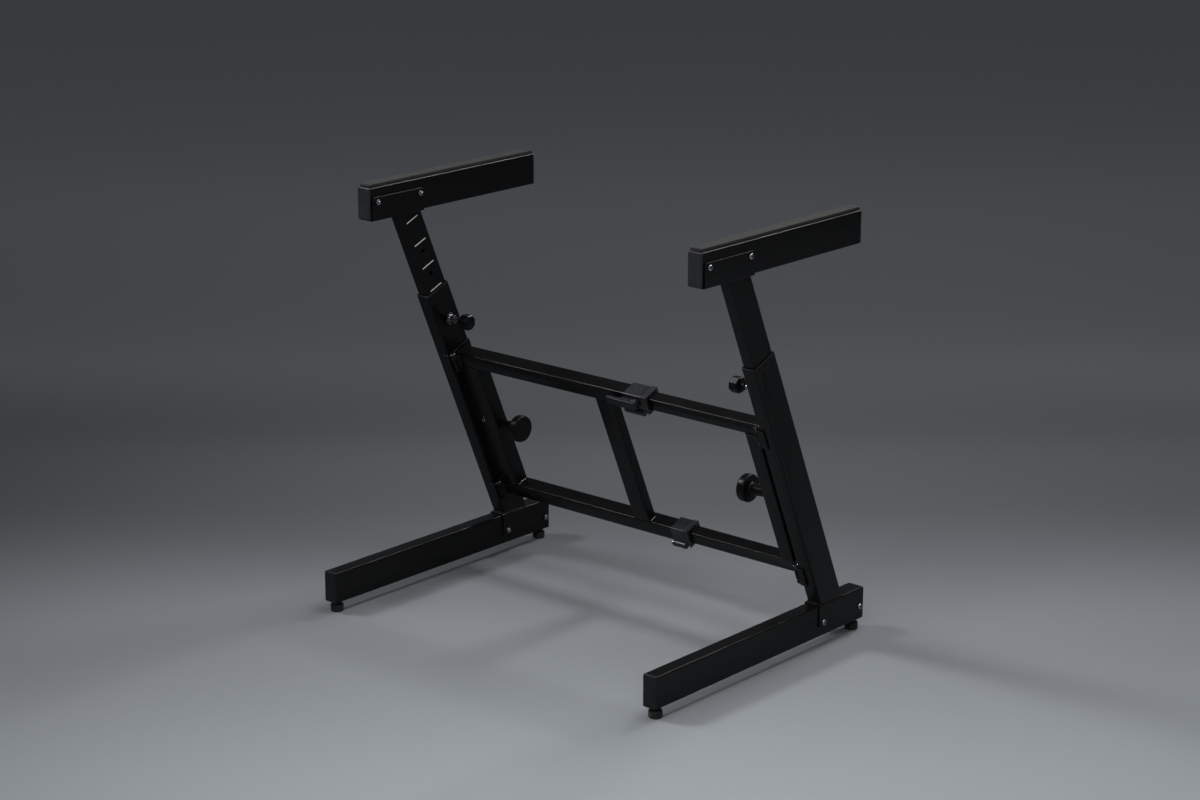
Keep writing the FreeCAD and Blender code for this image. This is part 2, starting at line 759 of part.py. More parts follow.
chamfer_base = plunger_knob.Tip
chamfer = plunger_knob.newObject("PartDesign::Chamfer", unique("chamfer"))
chamfer.Base = (chamfer_base, ["Edge%d" % (i + 1) for i, edge in enumerate(chamfer_base.Shape.Edges)
                               if knob_ends(edge)])
chamfer.setExpression("Size", s.knob_chamfer.text)
doc.recompute()
pad(plunger_knob, "YZ_Plane", [Circle(post_middle, plunger_rise, s.plunger_neck)],
    s.plunger_neck_length + s.knob_chamfer, offset=neck_start)
pocket(plunger_knob, "YZ_Plane", [Circle(post_middle, plunger_rise, s.pin_diameter)],
       s.pin_seat + s.overrun, offset=neck_start - s.overrun, back=True)


# Levelling feet: a ribbed rubber pad moulded on a threaded stem
def levelling_foot(label, y):
    body = new_body(label, dict(x=leg_x, y=y))
    wide = s.pad_diameter / 2
    narrow = wide - s.pad_rib
    profile = [(ZERO, ZERO), (narrow, ZERO)]
    for index, share in enumerate(RIB_SHARES):
        profile.append((wide if index % 4 in (0, 1) else narrow, s.pad_height * share))
    profile += [(narrow, s.pad_height), (s.foot_neck / 2, s.pad_height)]
    neck_top = s.floor_clearance - s.foot_gap
    stem_top = foot_top - s.bolt_drop - s.bolt_diameter / 2 - s.stem_bolt_gap
    profile += [(s.foot_neck / 2, neck_top), (s.stem_diameter / 2, neck_top)]
    profile += [(s.stem_diameter / 2, stem_top), (ZERO, stem_top)]
    revolve(body, "XZ_Plane", [Polygon(*profile)], "V_Axis")
    return body


front_foot = levelling_foot("left_front_levelling_foot", -foot_reach)
rear_foot = levelling_foot("left_rear_levelling_foot", foot_reach)

# Leg hinges: leaves on the post's inner face, with a pin along the post
axis_x = half_leg + s.hinge_plate + s.hinge_clear + s.knuckle / 2
axis_y = s.hinge_depth
leaf_face = half_leg + s.hinge_plate
bar_rises = {"upper": s.upper_rise, "lower": s.lower_rise}


def hinge_leaf(rise):
    """A leaf that wraps the post's front corner, with a knuckle below and above its bar."""
    body = new_body(unique("leaf"), leaning_leg, node=False)
    low = rise - s.bar_size / 2 - s.hinge_below
    high = rise + s.bar_size / 2 + s.hinge_above
    wrap = Polygon((half_leg, ZERO), (half_leg, s.leg_depth), (leaf_face, s.leg_depth),
                   (leaf_face, -s.hinge_plate), (half_leg - s.hinge_flange, -s.hinge_plate),
                   (half_leg - s.hinge_flange, ZERO))
    pad(body, "XY_Plane", [wrap], high - low, offset=low)
    below = s.hinge_below - s.knuckle_gap
    above = s.hinge_above - s.knuckle_gap
    web = rectangle(leaf_face - s.hinge_plate / 2, axis_x,
                    axis_y - s.knuckle / 2, axis_y + s.knuckle / 2)
    barrel = Circle(axis_x, axis_y, s.knuckle)
    for shape in (web, barrel):
        pad(body, "XY_Plane", [shape], below, offset=low)
        pad(body, "XY_Plane", [shape], above, offset=high - above)
    hole = Circle(axis_x, axis_y, s.hinge_pin + 2 * s.hinge_pin_gap)
    pocket(body, "XY_Plane", [hole], high - low + 2 * s.overrun, offset=high + s.overrun)
    return body


def hinge_pin(rise):
    """A headed pin through the knuckles of one hinge."""
    body = new_body(unique("pin"), leaning_leg, node=False)
    low = rise - s.bar_size / 2 - s.hinge_below
    high = rise + s.bar_size / 2 + s.hinge_above
    pad(body, "XY_Plane", [Circle(axis_x, axis_y, s.hinge_pin)], high - low, offset=low)
    pad(body, "XY_Plane", [Circle(axis_x, axis_y, s.pin_head)], s.pin_head_height, offset=high)
    top = high + s.pin_head_height

    def on_top(edge):
        return near(edge.BoundBox.ZMin, top) and near(edge.BoundBox.ZMax, top)

    round_edges(body, s.pin_head_height / 2, on_top)
    return body


hinge_leaves = group("left_hinge_leaves", [hinge_leaf(rise) for rise in bar_rises.values()])
hinge_pins = group("left_hinge_pins", [hinge_pin(rise) for rise in bar_rises.values()])

# Frame: bars that end at the hinges, on the legs' middle plane
bar_start = half_leg + s.hinge_plate + s.hinge_clear
bar_end = leg_x + bar_start + s.bar_length


def frame_bar(label, rise, size, corner, start, length, knuckle_x):
    """A square tube across the stand, with its hinge knuckle at the leg's end."""
    body = new_body(label, leaning_frame)
    half = size / 2
    front, back = post_middle - half, post_middle + half
    low, high = rise - half, rise + half
    outer = rectangle(front, back, low, high)
    bore = rectangle(front + s.bar_wall, back - s.bar_wall, low + s.bar_wall, high - s.bar_wall)
    pad(body, "YZ_Plane", [outer, bore], length, offset=start)
    round_edges(body, corner, corner_edges("x", y=(front, back), z=(low, high)))
    web = rectangle(knuckle_x - s.knuckle / 2, knuckle_x + s.knuckle / 2,
                    axis_y, front + s.bar_wall / 2)
    barrel = Circle(knuckle_x, axis_y, s.knuckle)
    for shape in (web, barrel):
        pad(body, "XY_Plane", [shape], size - 2 * corner, offset=low + corner)
    hole = Circle(knuckle_x, axis_y, s.hinge_pin + 2 * s.hinge_pin_gap)
    pocket(body, "XY_Plane", [hole], size + 2 * s.overrun, offset=high + s.overrun)
    return body


slider_start = bar_end - s.slider_insert
slider_length = -leg_x - bar_start - slider_start
for level, rise in bar_rises.items():
    frame_bar("left_%s_bar" % level, rise, s.bar_size, s.bar_corner,
              leg_x + bar_start, s.bar_length, leg_x + axis_x)
    frame_bar("right_%s_slider" % level, rise, s.slider_size, s.slider_corner,
              slider_start, slider_length, -leg_x - axis_x)


def frame_upright(label, low_x, high_x, low_y, high_y, bar):
    """A tube between the two bars, along the posts."""
    body = new_body(label, leaning_frame)
    low, high = s.lower_rise + bar / 2, s.upper_rise - bar / 2
    outer = rectangle(low_x, high_x, low_y, high_y)
    bore = rectangle(low_x + s.bar_wall, high_x - s.bar_wall,
                     low_y + s.bar_wall, high_y - s.bar_wall)
    pad(body, "XY_Plane", [outer, bore], high - low, offset=low)
    round_edges(body, s.bar_corner, corner_edges("z", x=(low_x, high_x), y=(low_y, high_y)))
    return body


side_near = half_leg + s.side_gap
side_far = side_near + s.bar_size
bar_front, bar_back = post_middle - s.bar_size / 2, post_middle + s.bar_size / 2
clamp_rise = (s.upper_rise + s.lower_rise) / 2
stud_hole = Circle(post_middle, clamp_rise, s.stud_diameter + 2 * s.stud_hole_gap)
left_side = frame_upright("left_side_member", leg_x + side_near, leg_x + side_far,
                          bar_front, bar_back, s.bar_size)
pocket(left_side, "YZ_Plane", [stud_hole], s.bar_size + 2 * s.overrun,
       offset=leg_x + side_far + s.overrun)
right_side = frame_upright("right_side_member", -leg_x - side_far, -leg_x - side_near,
                           bar_front, bar_back, s.slider_size)
pocket(right_side, "YZ_Plane", [stud_hole], s.bar_size + 2 * s.overrun,
       offset=s.overrun - leg_x - side_near)
strut_x = bar_end - s.strut_distance
frame_upright("centre_strut", strut_x - s.strut_width / 2, strut_x + s.strut_width / 2,
              bar_front, bar_front + s.strut_depth, s.bar_size)

# Leg clamp: a nut on the side member, a stud that bears on the post, and its knob
clamp_nut = new_body("left_clamp_nut", leaning_leg)
nut_bore = Circle(post_middle, clamp_rise, s.stud_diameter + 2 * s.stud_gap)
pad(clamp_nut, "YZ_Plane", [hexagon(post_middle, clamp_rise, s.clamp_nut_flats), nut_bore],
    s.clamp_nut_height, offset=side_near, back=True)
stud = new_body("left_clamp_stud", leaning_leg)
stud_start = half_leg + s.stud_tip_gap
neck_near = side_far + s.clamp_gap
disc_near = neck_near + s.clamp_neck_length
disc_far = disc_near + s.clamp_knob_thickness
stud_end = disc_near + s.stud_seat
pad(stud, "YZ_Plane", [Circle(post_middle, clamp_rise, s.stud_diameter)],
    stud_end - stud_start, offset=stud_start)
clamp_axis = dict(x=leg_x, y=post_front - clamp_rise * sideways + post_middle * upright,
                  z=foot_top + clamp_rise * upright + post_middle * sideways)
clamp_knob = new_body("left_clamp_knob", clamp_axis)
stud_radius, disc_radius = s.stud_diameter / 2, s.clamp_knob / 2
knob_profile = Polygon(
    (neck_near, stud_radius), (neck_near, s.clamp_neck_near / 2),
    (disc_near, s.clamp_neck_far / 2), (disc_near, disc_radius - s.clamp_round),
    (disc_near + s.clamp_round, disc_radius), (disc_far - s.clamp_round, disc_radius),
    (disc_far, disc_radius - s.clamp_round), (disc_far, ZERO), (stud_end, ZERO),
    (stud_end, stud_radius))
revolve(clamp_knob, "XZ_Plane", [knob_profile], "H_Axis")

# Frame collars: moulded sleeves on the open ends of the bars
collar_end = bar_end + s.collar_reach
collar_half = s.bar_size / 2 + s.collar_wall
collar_front = post_middle - collar_half
screws = []


def square(half, rise):
    return rectangle(post_middle - half, post_middle + half, rise - half, rise + half)


def collar(label, rise, grip, lug):
    """A stepped sleeve with two end rims, a screw bead and, if asked, the lever's lug."""
    body = new_body(label, leaning_frame)
    start = bar_end - grip
    length = grip + s.collar_reach
    pad(body, "YZ_Plane", [square(collar_half, rise)], length, offset=start)
    sides = (post_middle - collar_half, post_middle + collar_half)
    round_edges(body, s.collar_round,
                corner_edges("x", y=sides, z=(rise - collar_half, rise + collar_half)))
    for step in (ZERO, s.rim_step):
        pad(body, "YZ_Plane", [square(collar_half + s.rim_proud, rise)], s.rim_width,
            offset=collar_end - step, back=True)
    bead_y, bead_z = collar_front, rise - collar_half
    bead_length = length - s.rim_step - s.rim_width
    pad(body, "YZ_Plane", [Circle(bead_y, bead_z, s.bead_diameter)], bead_length, offset=start)
    if lug:
        lug_low = rise + s.lever_rise - s.lug_height / 2
        web = rectangle(bar_end - s.lug_width / 2, bar_end + s.lug_width / 2,
                        collar_front - s.lever_stand_off, collar_front + s.collar_wall / 2)
        ear = Circle(bar_end, collar_front - s.lever_stand_off, s.lug_width)
        for shape in (web, ear):
            pad(body, "XY_Plane", [shape], s.lug_height, offset=lug_low)
        hole = Circle(bar_end, collar_front - s.lever_stand_off,
                      s.lever_pin + 2 * s.lever_pin_gap)
        pocket(body, "XY_Plane", [hole], s.lug_height + 2 * s.overrun,
               offset=lug_low + s.lug_height + s.overrun)
    pocket(body, "YZ_Plane", [square(s.bar_size / 2 + s.collar_gap, rise)], grip + s.overrun,
           offset=bar_end)
    pocket(body, "YZ_Plane", [square(s.slider_size / 2 + s.collar_gap, rise)],
           s.collar_reach + 2 * s.overrun, offset=collar_end + s.overrun)
    screw_bore = Circle(bead_y, bead_z, s.screw_diameter + 2 * s.screw_gap)
    pocket(body, "YZ_Plane", [screw_bore], bead_length + s.overrun,
           offset=start - s.overrun, back=True)
    screw = new_body(unique("screw"), leaning_frame, node=False)
    pad(screw, "YZ_Plane", [Circle(bead_y, bead_z, s.screw_diameter)],
        bead_length, offset=start)
    pad(screw, "YZ_Plane", [Circle(bead_y, bead_z, s.screw_head)],
        s.screw_head_height, offset=start, back=True)
    screws.append(screw)
    return body


upper_collar = collar("upper_collar", s.upper_rise, s.upper_collar_grip, True)
lower_collar = collar("lower_collar", s.lower_rise, s.lower_collar_grip, False)
collar_screws = group("collar_screws", screws)

# Cam lever, forked over the collar's lug
lever = new_body("cam_lever", leaning_frame)
pivot_y = collar_front - s.lever_stand_off
lever_low = s.upper_rise + s.lever_rise - s.lever_height / 2
hub_front = pivot_y - s.lever_hub / 2
hub_back = pivot_y + s.lever_hub / 2
arm_points = [(bar_end - s.lever_length * along, hub_front + s.lever_thickness * across)
              for along, across in LEVER_SHARES]
arm_points += [(bar_end - s.lever_block, hub_back), (bar_end, hub_back), (bar_end, hub_front)]
pad(lever, "XY_Plane", [Polygon(*arm_points)], s.lever_height, offset=lever_low)


def arm_edges(edge):
    return runs_along(edge, AXES["z"]) and edge.CenterOfMass.x < bar_end.value - s.lever_hub.value


round_edges(lever, s.lever_round, arm_edges)
pad(lever, "XY_Plane", [Circle(bar_end, pivot_y, s.lever_hub)], s.lever_height, offset=lever_low)
slot_reach = s.lug_width / 2 + s.lug_gap
slot = rectangle(bar_end - slot_reach, bar_end + s.lever_hub,
                 pivot_y - slot_reach, pivot_y + s.lever_hub)
slot_height = s.lug_height + 2 * s.lug_gap
slot_low = s.upper_rise + s.lever_rise - slot_height / 2
lug_space = Circle(bar_end, pivot_y, 2 * slot_reach)
pocket(lever, "XY_Plane", [lug_space], slot_height, offset=slot_low, back=True)
pocket(lever, "XY_Plane", [slot], slot_height, offset=slot_low, back=True)
lever_bore = Circle(bar_end, pivot_y, s.lever_pin + 2 * s.lever_pin_gap)
pocket(lever, "XY_Plane", [lever_bore], s.lever_height + 2 * s.overrun,
       offset=lever_low + s.lever_height + s.overrun)

lever_pin = new_body("cam_lever_pin", leaning_frame)
lever_top = lever_low + s.lever_height
pad(lever_pin, "XY_Plane", [Circle(bar_end, pivot_y, s.lever_pin)], s.lever_height, offset=lever_low)
pin_top = lever_top + s.lug_gap + s.lever_pin_head_height
pad(lever_pin, "XY_Plane", [Circle(bar_end, pivot_y, s.lever_pin_head)],
    s.lever_pin_head_height, offset=pin_top, back=True)
pad(lever_pin, "XY_Plane", [Circle(bar_end, pivot_y, s.lever_pin)], s.lug_gap, offset=lever_top)

# The right leg and its clamp mirror the left ones
for source in list(nodes):
    if source.Label.startswith("left_") and not source.Label.endswith(("_bar", "side_member")):
        nodes.append(mirrored(source, source.Label.replace("left_", "right_", 1)))
doc.recompute()

# Everything is checked before anything is written
for item in doc.Objects:
    if "Invalid" in item.State or "Error" in item.State:
        raise RuntimeError("%s failed: %s" % (item.Label, item.State))
for item in nodes:
    shape = item.Shape
    if shape.isNull() or not shape.isValid() or not shape.Solids:
        raise RuntimeError("%s has no valid solid" % item.Label)
labels = [item.Label for item in nodes]
if len(set(labels)) != len(labels):
    raise RuntimeError("two pieces share a name")
os.makedirs("parts", exist_ok=True)
for item in nodes:
    item.Shape.exportStep("parts/%s.step" % item.Label)
print("%d nodes, %d solids" % (len(nodes), sum(len(item.Shape.Solids) for item in nodes)))
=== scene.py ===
"""Looks of the keyboard stand: coated tubes, moulded plastic, plated fasteners and soft strips.

Everything is in metres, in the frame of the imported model: the floor is z = 0, +X is the
player's right, -Y is the player's side and +Z is up.
"""
import json
import logging
import math
from dataclasses import dataclass
from enum import Enum
from typing import ClassVar, Iterable, Optional, Sequence

import bmesh
import bpy
from bpy_extras.mesh_utils import mesh_linked_triangles
from mathutils import Matrix, Vector


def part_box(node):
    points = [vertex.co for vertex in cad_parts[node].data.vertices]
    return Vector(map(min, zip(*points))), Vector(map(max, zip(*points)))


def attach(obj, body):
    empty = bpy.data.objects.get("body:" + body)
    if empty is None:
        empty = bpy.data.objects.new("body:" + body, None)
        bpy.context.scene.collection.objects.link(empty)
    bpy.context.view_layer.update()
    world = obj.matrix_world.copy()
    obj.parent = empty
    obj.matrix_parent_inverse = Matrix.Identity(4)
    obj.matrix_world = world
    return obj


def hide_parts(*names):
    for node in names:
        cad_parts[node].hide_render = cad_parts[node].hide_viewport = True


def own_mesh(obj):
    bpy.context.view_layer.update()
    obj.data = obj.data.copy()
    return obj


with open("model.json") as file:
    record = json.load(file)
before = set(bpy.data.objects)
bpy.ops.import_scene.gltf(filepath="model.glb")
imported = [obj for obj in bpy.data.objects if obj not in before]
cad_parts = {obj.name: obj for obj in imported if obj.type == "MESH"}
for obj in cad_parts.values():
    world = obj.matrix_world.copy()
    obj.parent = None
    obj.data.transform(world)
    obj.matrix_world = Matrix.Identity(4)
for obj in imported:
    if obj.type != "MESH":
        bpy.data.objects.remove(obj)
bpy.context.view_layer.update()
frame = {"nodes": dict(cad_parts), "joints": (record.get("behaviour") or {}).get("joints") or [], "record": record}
MM = 0.001
log = logging.getLogger("keyboard_stand")
Ring = list[Vector]
Run = list[Vector]
Profile = Sequence[tuple[float, float]]


class Side(Enum):
    """The two legs."""

    LEFT = "left"
    RIGHT = "right"

    @property
    def inward(self) -> float:
        """Sign along X from this leg towards the stand's middle."""
        return 1.0 if self is Side.LEFT else -1.0


class Slot(Enum):
    """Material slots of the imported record."""

    BLACK_STEEL = "black_steel"
    CAP_PLASTIC = "cap_plastic"
    KNOB_PLASTIC = "knob_plastic"
    COLLAR_PLASTIC = "collar_plastic"
    LEVER_PLASTIC = "lever_plastic"
    PAD_RUBBER = "pad_rubber"
    FOOT_RUBBER = "foot_rubber"
    BRIGHT_STEEL = "bright_steel"


# Finishes

# How every finish varies over its surface: soft patches of colour and gloss, and a fine grain
PATCH_DETAIL, PATCH_ROUGHNESS, PATCH_STOPS = 4.0, 0.55, (0.35, 0.65)
GLOSS_FROM, GLOSS_TO, GLOSSIEST = 0.3, 0.7, 0.02
GRAIN_DETAIL = 2.0
SHEEN_ROUGHNESS = 0.6


def linear(hex_colour: str) -> tuple[float, float, float, float]:
    """Turns an sRGB colour into Blender's linear colour.

    Args:
        hex_colour: A hash and six hex digits.

    Returns:
        Red, green, blue and a full alpha.
    """
    parts = [int(hex_colour[i:i + 2], 16) / 255 for i in (1, 3, 5)]
    light = [p / 12.92 if p <= 0.04045 else ((p + 0.055) / 1.055) ** 2.4 for p in parts]
    return (light[0], light[1], light[2], 1.0)


def add_node(tree: bpy.types.NodeTree, kind: str, settings: Optional[dict] = None,
             links: Optional[dict] = None) -> bpy.types.Node:
    """Adds a node with its settings and its incoming links.

    Args:
        tree: Tree that gets the node.
        kind: Blender's name of the node's type.
        settings: Values by the input's index or its name, which starts with a capital, or else
            by the attribute's name.
        links: Source sockets by the name or index of this node's input.

    Returns:
        The new node.
    """
    node = tree.nodes.new(kind)
    for key, value in (settings or {}).items():
        if isinstance(key, int) or key[0].isupper():
            node.inputs[key].default_value = value
        else:
            setattr(node, key, value)
    for key, source in (links or {}).items():
        tree.links.new(source, node.inputs[key])
    return node


@dataclass(frozen=True)
class Finish:
    """A surface as it was made: its colours, gloss and grain."""

    name: str
    slot: Optional[Slot]
    colour: str
    second_colour: str
    roughness: float
    roughness_spread: float = 0.06
    metallic: float = 0.0
    ior: float = 1.5
    patch_mm: float = 40.0
    grain_mm: float = 3.0
    grain_height_mm: float = 0.02
    sheen: float = 0.0

    def material(self) -> bpy.types.Material:
        """Builds the material, or finds it once it is built.

        Returns:
            The material.
        """
        known = bpy.data.materials.get(self.name)
        if known is not None:
            return known
        material = bpy.data.materials.new(self.name)
        material.use_nodes = True
        tree = material.node_tree
        tree.nodes.clear()
        shader = add_node(tree, "ShaderNodeBsdfPrincipled", {
            "Metallic": self.metallic, "IOR": self.ior,
            "Sheen Weight": self.sheen, "Sheen Roughness": SHEEN_ROUGHNESS})
        add_node(tree, "ShaderNodeOutputMaterial", links={"Surface": shader.outputs[0]})
        self.paint(tree, shader)
        return material

    def paint(self, tree: bpy.types.NodeTree, shader: bpy.types.Node) -> None:
        """Gives the material's shader soft patches of colour and gloss, and a fine grain.

        Args:
            tree: The material's nodes.
            shader: Its principled shader.
        """
        place = add_node(tree, "ShaderNodeTexCoord").outputs["Object"]
        patches = add_node(tree, "ShaderNodeTexNoise", {
            "Scale": 1 / (self.patch_mm * MM), "Detail": PATCH_DETAIL,
            "Roughness": PATCH_ROUGHNESS}, {"Vector": place}).outputs[0]
        colours = add_node(tree, "ShaderNodeValToRGB", links={"Fac": patches})
        for stop, share, colour in zip(colours.color_ramp.elements, PATCH_STOPS,
                                       (self.colour, self.second_colour)):
            stop.position = share
            stop.color = linear(colour)
        gloss = add_node(tree, "ShaderNodeMapRange", {
            "From Min": GLOSS_FROM, "From Max": GLOSS_TO,
            "To Min": max(self.roughness - self.roughness_spread, GLOSSIEST),
            "To Max": min(self.roughness + self.roughness_spread, 1.0)},
            {"Value": patches})
        grain = add_node(tree, "ShaderNodeTexNoise", {
            "Scale": 1 / (self.grain_mm * MM), "Detail": GRAIN_DETAIL},
            {"Vector": place})
        relief = add_node(tree, "ShaderNodeBump", {"Distance": self.grain_height_mm * MM},
                          {"Height": grain.outputs[0]})
        tree.links.new(colours.outputs[0], shader.inputs["Base Color"])
        tree.links.new(gloss.outputs[0], shader.inputs["Roughness"])
        tree.links.new(relief.outputs[0], shader.inputs["Normal"])


# Satin polyester powder baked on steel: deep black, its orange peel drawn at 4 mm so that it shows
POWDER_COAT = Finish(
    "satin_black_powder_coat", Slot.BLACK_STEEL, "#090909", "#0c0c0d", 0.30, ior=1.27,
    roughness_spread=0.025, grain_mm=4.0, grain_height_mm=0.004, patch_mm=45.0)
# The same powder where it pooled over a weld: smooth and glossy, so that it glints in a line
POOLED_COAT = Finish(
    "pooled_gloss_powder_coat", Slot.BLACK_STEEL, "#0b0b0b", "#0f0f10", 0.12, ior=1.9,
    roughness_spread=0.02, grain_mm=4.0, grain_height_mm=0.002, patch_mm=45.0)
# Spark-eroded polypropylene: a grey-black moulded skin, drier than the coat beside it
CAP_PLASTIC = Finish(
    "moulded_black_polypropylene", Slot.CAP_PLASTIC, "#111214", "#151618", 0.36, ior=1.33,
    grain_mm=1.4, grain_height_mm=0.02, patch_mm=25.0)
# The arms' end caps: the same moulding, its dull dark grey painted light for the stronger light on the arms' ends,
# so that they stand out from the tube
ARM_CAP_PAINTED_LIT = Finish(
    "moulded_black_polypropylene_painted_lit", Slot.CAP_PLASTIC, "#2b2c30", "#323337", 0.40, ior=1.45,
    grain_mm=1.4, grain_height_mm=0.03, patch_mm=25.0)
# Satin phenolic of the knobs: black, with soft highlights on its edges
KNOB_PLASTIC = Finish(
    "satin_black_phenolic", Slot.KNOB_PLASTIC, "#0b0b0c", "#0f0f10", 0.34, ior=1.24,
    roughness_spread=0.05, grain_mm=6.0, grain_height_mm=0.008)
# Glass-filled nylon: blue-grey black, pale along its edges, faintly mottled by its filler
COLLAR_NYLON = Finish(
    "dark_filled_nylon", Slot.COLLAR_PLASTIC, "#1e1f23", "#25262a", 0.36, ior=1.45, grain_mm=1.6,
    grain_height_mm=0.03, patch_mm=12.0)
# Acetal of the lever: dark grey, slightly waxy
LEVER_ACETAL = Finish(
    "dark_grey_acetal", Slot.LEVER_PLASTIC, "#1f2023", "#252629", 0.34, ior=1.3, grain_mm=2.0,
    grain_height_mm=0.015, patch_mm=14.0)
# Closed-cell foam rubber: warm dark grey, matte, with open pores in its skin
STRIP_FOAM = Finish(
    "warm_grey_foam_rubber", Slot.PAD_RUBBER, "#232222", "#2b2a29", 0.80, ior=1.3, grain_mm=1.8,
    grain_height_mm=0.12, patch_mm=20.0, sheen=0.06)
# Moulded rubber of the feet: black and dull
FOOT_RUBBER = Finish(
    "moulded_black_rubber", Slot.FOOT_RUBBER, "#111111", "#171717", 0.58, grain_mm=1.5,
    grain_height_mm=0.04, patch_mm=10.0)
# Black nickel on plungers, hinge pins and collar screws: dark metal that only shows its glints
BLACK_NICKEL = Finish(
    "black_nickel_plated_steel", Slot.BRIGHT_STEEL, "#6c6b6e", "#5c5b5e", 0.16, metallic=1.0,
    grain_mm=2.0, grain_height_mm=0.006, patch_mm=8.0)
# Zinc plate on steel: bright, slightly blue, with a fine satin grain
ZINC = Finish(
    "zinc_plated_steel", Slot.BRIGHT_STEEL, "#a2a4a8", "#8f9195", 0.20, metallic=1.0, grain_mm=1.2,
    grain_height_mm=0.01, patch_mm=6.0)
# Screen-printed ink: opaque white, level and dull
PRINT_INK = Finish(
    "screen_printed_white_ink", None, "#e8e8e4", "#dededa", 0.55, grain_mm=0.8,
    grain_height_mm=0.01, patch_mm=5.0)

NODE_FINISHES: dict[str, Finish] = {
    "foot_caps": CAP_PLASTIC, "arm_caps": ARM_CAP_PAINTED_LIT, "guide_bush": CAP_PLASTIC,
    "plunger_knob": KNOB_PLASTIC, "clamp_knob": KNOB_PLASTIC,
    "plunger_body": BLACK_NICKEL, "plunger_pin": ZINC, "plunger_spring": ZINC,
    "clamp_stud": ZINC, "clamp_nut": ZINC, "hinge_pins": BLACK_NICKEL, "saddle_fasteners": ZINC,
    "arm_fasteners": ZINC, "collar_screws": BLACK_NICKEL, "cam_lever_pin": ZINC,
    "arm_pad": STRIP_FOAM, "levelling_foot": FOOT_RUBBER,
    "upper_collar": COLLAR_NYLON, "lower_collar": COLLAR_NYLON, "cam_lever": LEVER_ACETAL,
}


def finish_of(node: str) -> Finish:
    """Finds the finish of a CAD node by the end of its name, or else the powder coat."""
    matches = (finish for ending, finish in NODE_FINISHES.items() if node.endswith(ending))
    return next(matches, POWDER_COAT)


# The leaning frame

def joint_fact(joint: str, fact: str) -> list[float]:
    """Reads one of a joint's facts from the frame."""
    return next(item[fact] for item in frame["joints"] if item["name"] == joint)


@dataclass(frozen=True)
class Lean:
    """Coordinates that lean with the posts: X, across the post and up it."""

    up: Vector
    across: Vector

    @classmethod
    def from_joint(cls, joint: str) -> "Lean":
        """Reads the posts' direction from the joint that slides along it."""
        up = Vector(joint_fact(joint, "axis")).normalized()
        return cls(up, up.cross(Vector((1, 0, 0))))

    def local(self, point: Vector) -> Vector:
        """Turns a point of the stand into leaning coordinates."""
        return Vector((point.x, point.dot(self.across), point.dot(self.up)))

    def world(self, x: float, across: float, up: float) -> Vector:
        """Turns leaning coordinates into a point of the stand."""
        return Vector((x, 0, 0)) + self.across * across + self.up * up

    def extent(self, node: str) -> tuple[Vector, Vector]:
        """Gives a CAD node's lowest and highest leaning coordinates.

        Args:
            node: Name of the CAD node.

        Returns:
            Its lowest corner and its highest.
        """
        points = [self.local(vertex.co) for vertex in frame["nodes"][node].data.vertices]
        low = Vector([min(p[i] for p in points) for i in range(3)])
        high = Vector([max(p[i] for p in points) for i in range(3)])
        return low, high

    def matrix(self, origin: Vector, flip: float = 1.0) -> Matrix:
        """Gives the move from a piece's own axes to the stand's.

        Args:
            origin: Where the piece's origin goes, in leaning coordinates.
            flip: 1 for a piece along +X, -1 for one turned round to lie along -X.

        Returns:
            The move, a proper turn and a shift.
        """
        columns = (Vector((flip, 0, 0)), self.across * flip, self.up)
        turn = Matrix([[column[row] for column in columns] for row in range(3)]).to_4x4()
        return Matrix.Translation(self.world(*origin)) @ turn


LEAN = Lean.from_joint("left_height_slide")


# Meshes

MERGE_DISTANCE = 0.001 * MM
FLAT_DEG = 0.5
EASED_CREASE_DEG, EASED_STEPS = 38.0, 3
TURNED_CREASE_DEG, CRISP_CREASE_DEG = 35.0, 30.0
RING_POINTS = 48


def new_piece(name: str, mesh: bpy.types.Mesh, finish: Finish) -> bpy.types.Object:
    """Links a mesh as a piece with one finish.

    Args:
        name: Name of the piece.
        mesh: Its mesh.
        finish: Its only finish.

    Returns:
        The piece.
    """
    piece = bpy.data.objects.new(name, mesh)
    bpy.context.collection.objects.link(piece)
    mesh.materials.clear()
    mesh.materials.append(finish.material())
    return piece


def shade(mesh: bpy.types.Mesh, angle_deg: float) -> None:
    """Shades a mesh smooth, with edges sharper than an angle kept crisp."""
    mesh.shade_smooth()
    mesh.set_sharp_from_angle(angle=math.radians(angle_deg))


def baked(piece: bpy.types.Object) -> bpy.types.Mesh:
    """Turns a piece's modifiers into a plain mesh and takes them off.

    Args:
        piece: Piece with modifiers.

    Returns:
        The mesh that they make.
    """
    bpy.context.view_layer.update()
    graph = bpy.context.evaluated_depsgraph_get()
    mesh = bpy.data.meshes.new_from_object(piece.evaluated_get(graph))
    piece.modifiers.clear()
    return mesh


def body_of(node: str) -> str:
    """Names the body that a CAD node belongs to."""
    bodies = frame["record"]["behaviour"]["bodies"]
    return next(body for body, members in bodies.items() if node in members)


def settle(piece: bpy.types.Object, body: str, finish: Finish, *nodes: str) -> bpy.types.Object:
    """Lets a piece ride on a body, in place of the CAD nodes that it stands for.

    Args:
        piece: The finished piece.
        body: Body that carries it.
        finish: Its finish; not used.
        nodes: CAD nodes that it replaces, if any.

    Returns:
        The same piece.
    """
    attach(piece, body)
    if nodes:
        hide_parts(*nodes)
    log.info("%s rides on %s, %d faces", piece.name, body, len(piece.data.polygons))
    return piece


def stand_in(name: str, mesh: bpy.types.Mesh, finish: Finish, node: str) -> bpy.types.Object:
    """Makes a mesh the piece that stands for a CAD node."""
    return settle(new_piece(name, mesh, finish), body_of(node), finish, node)


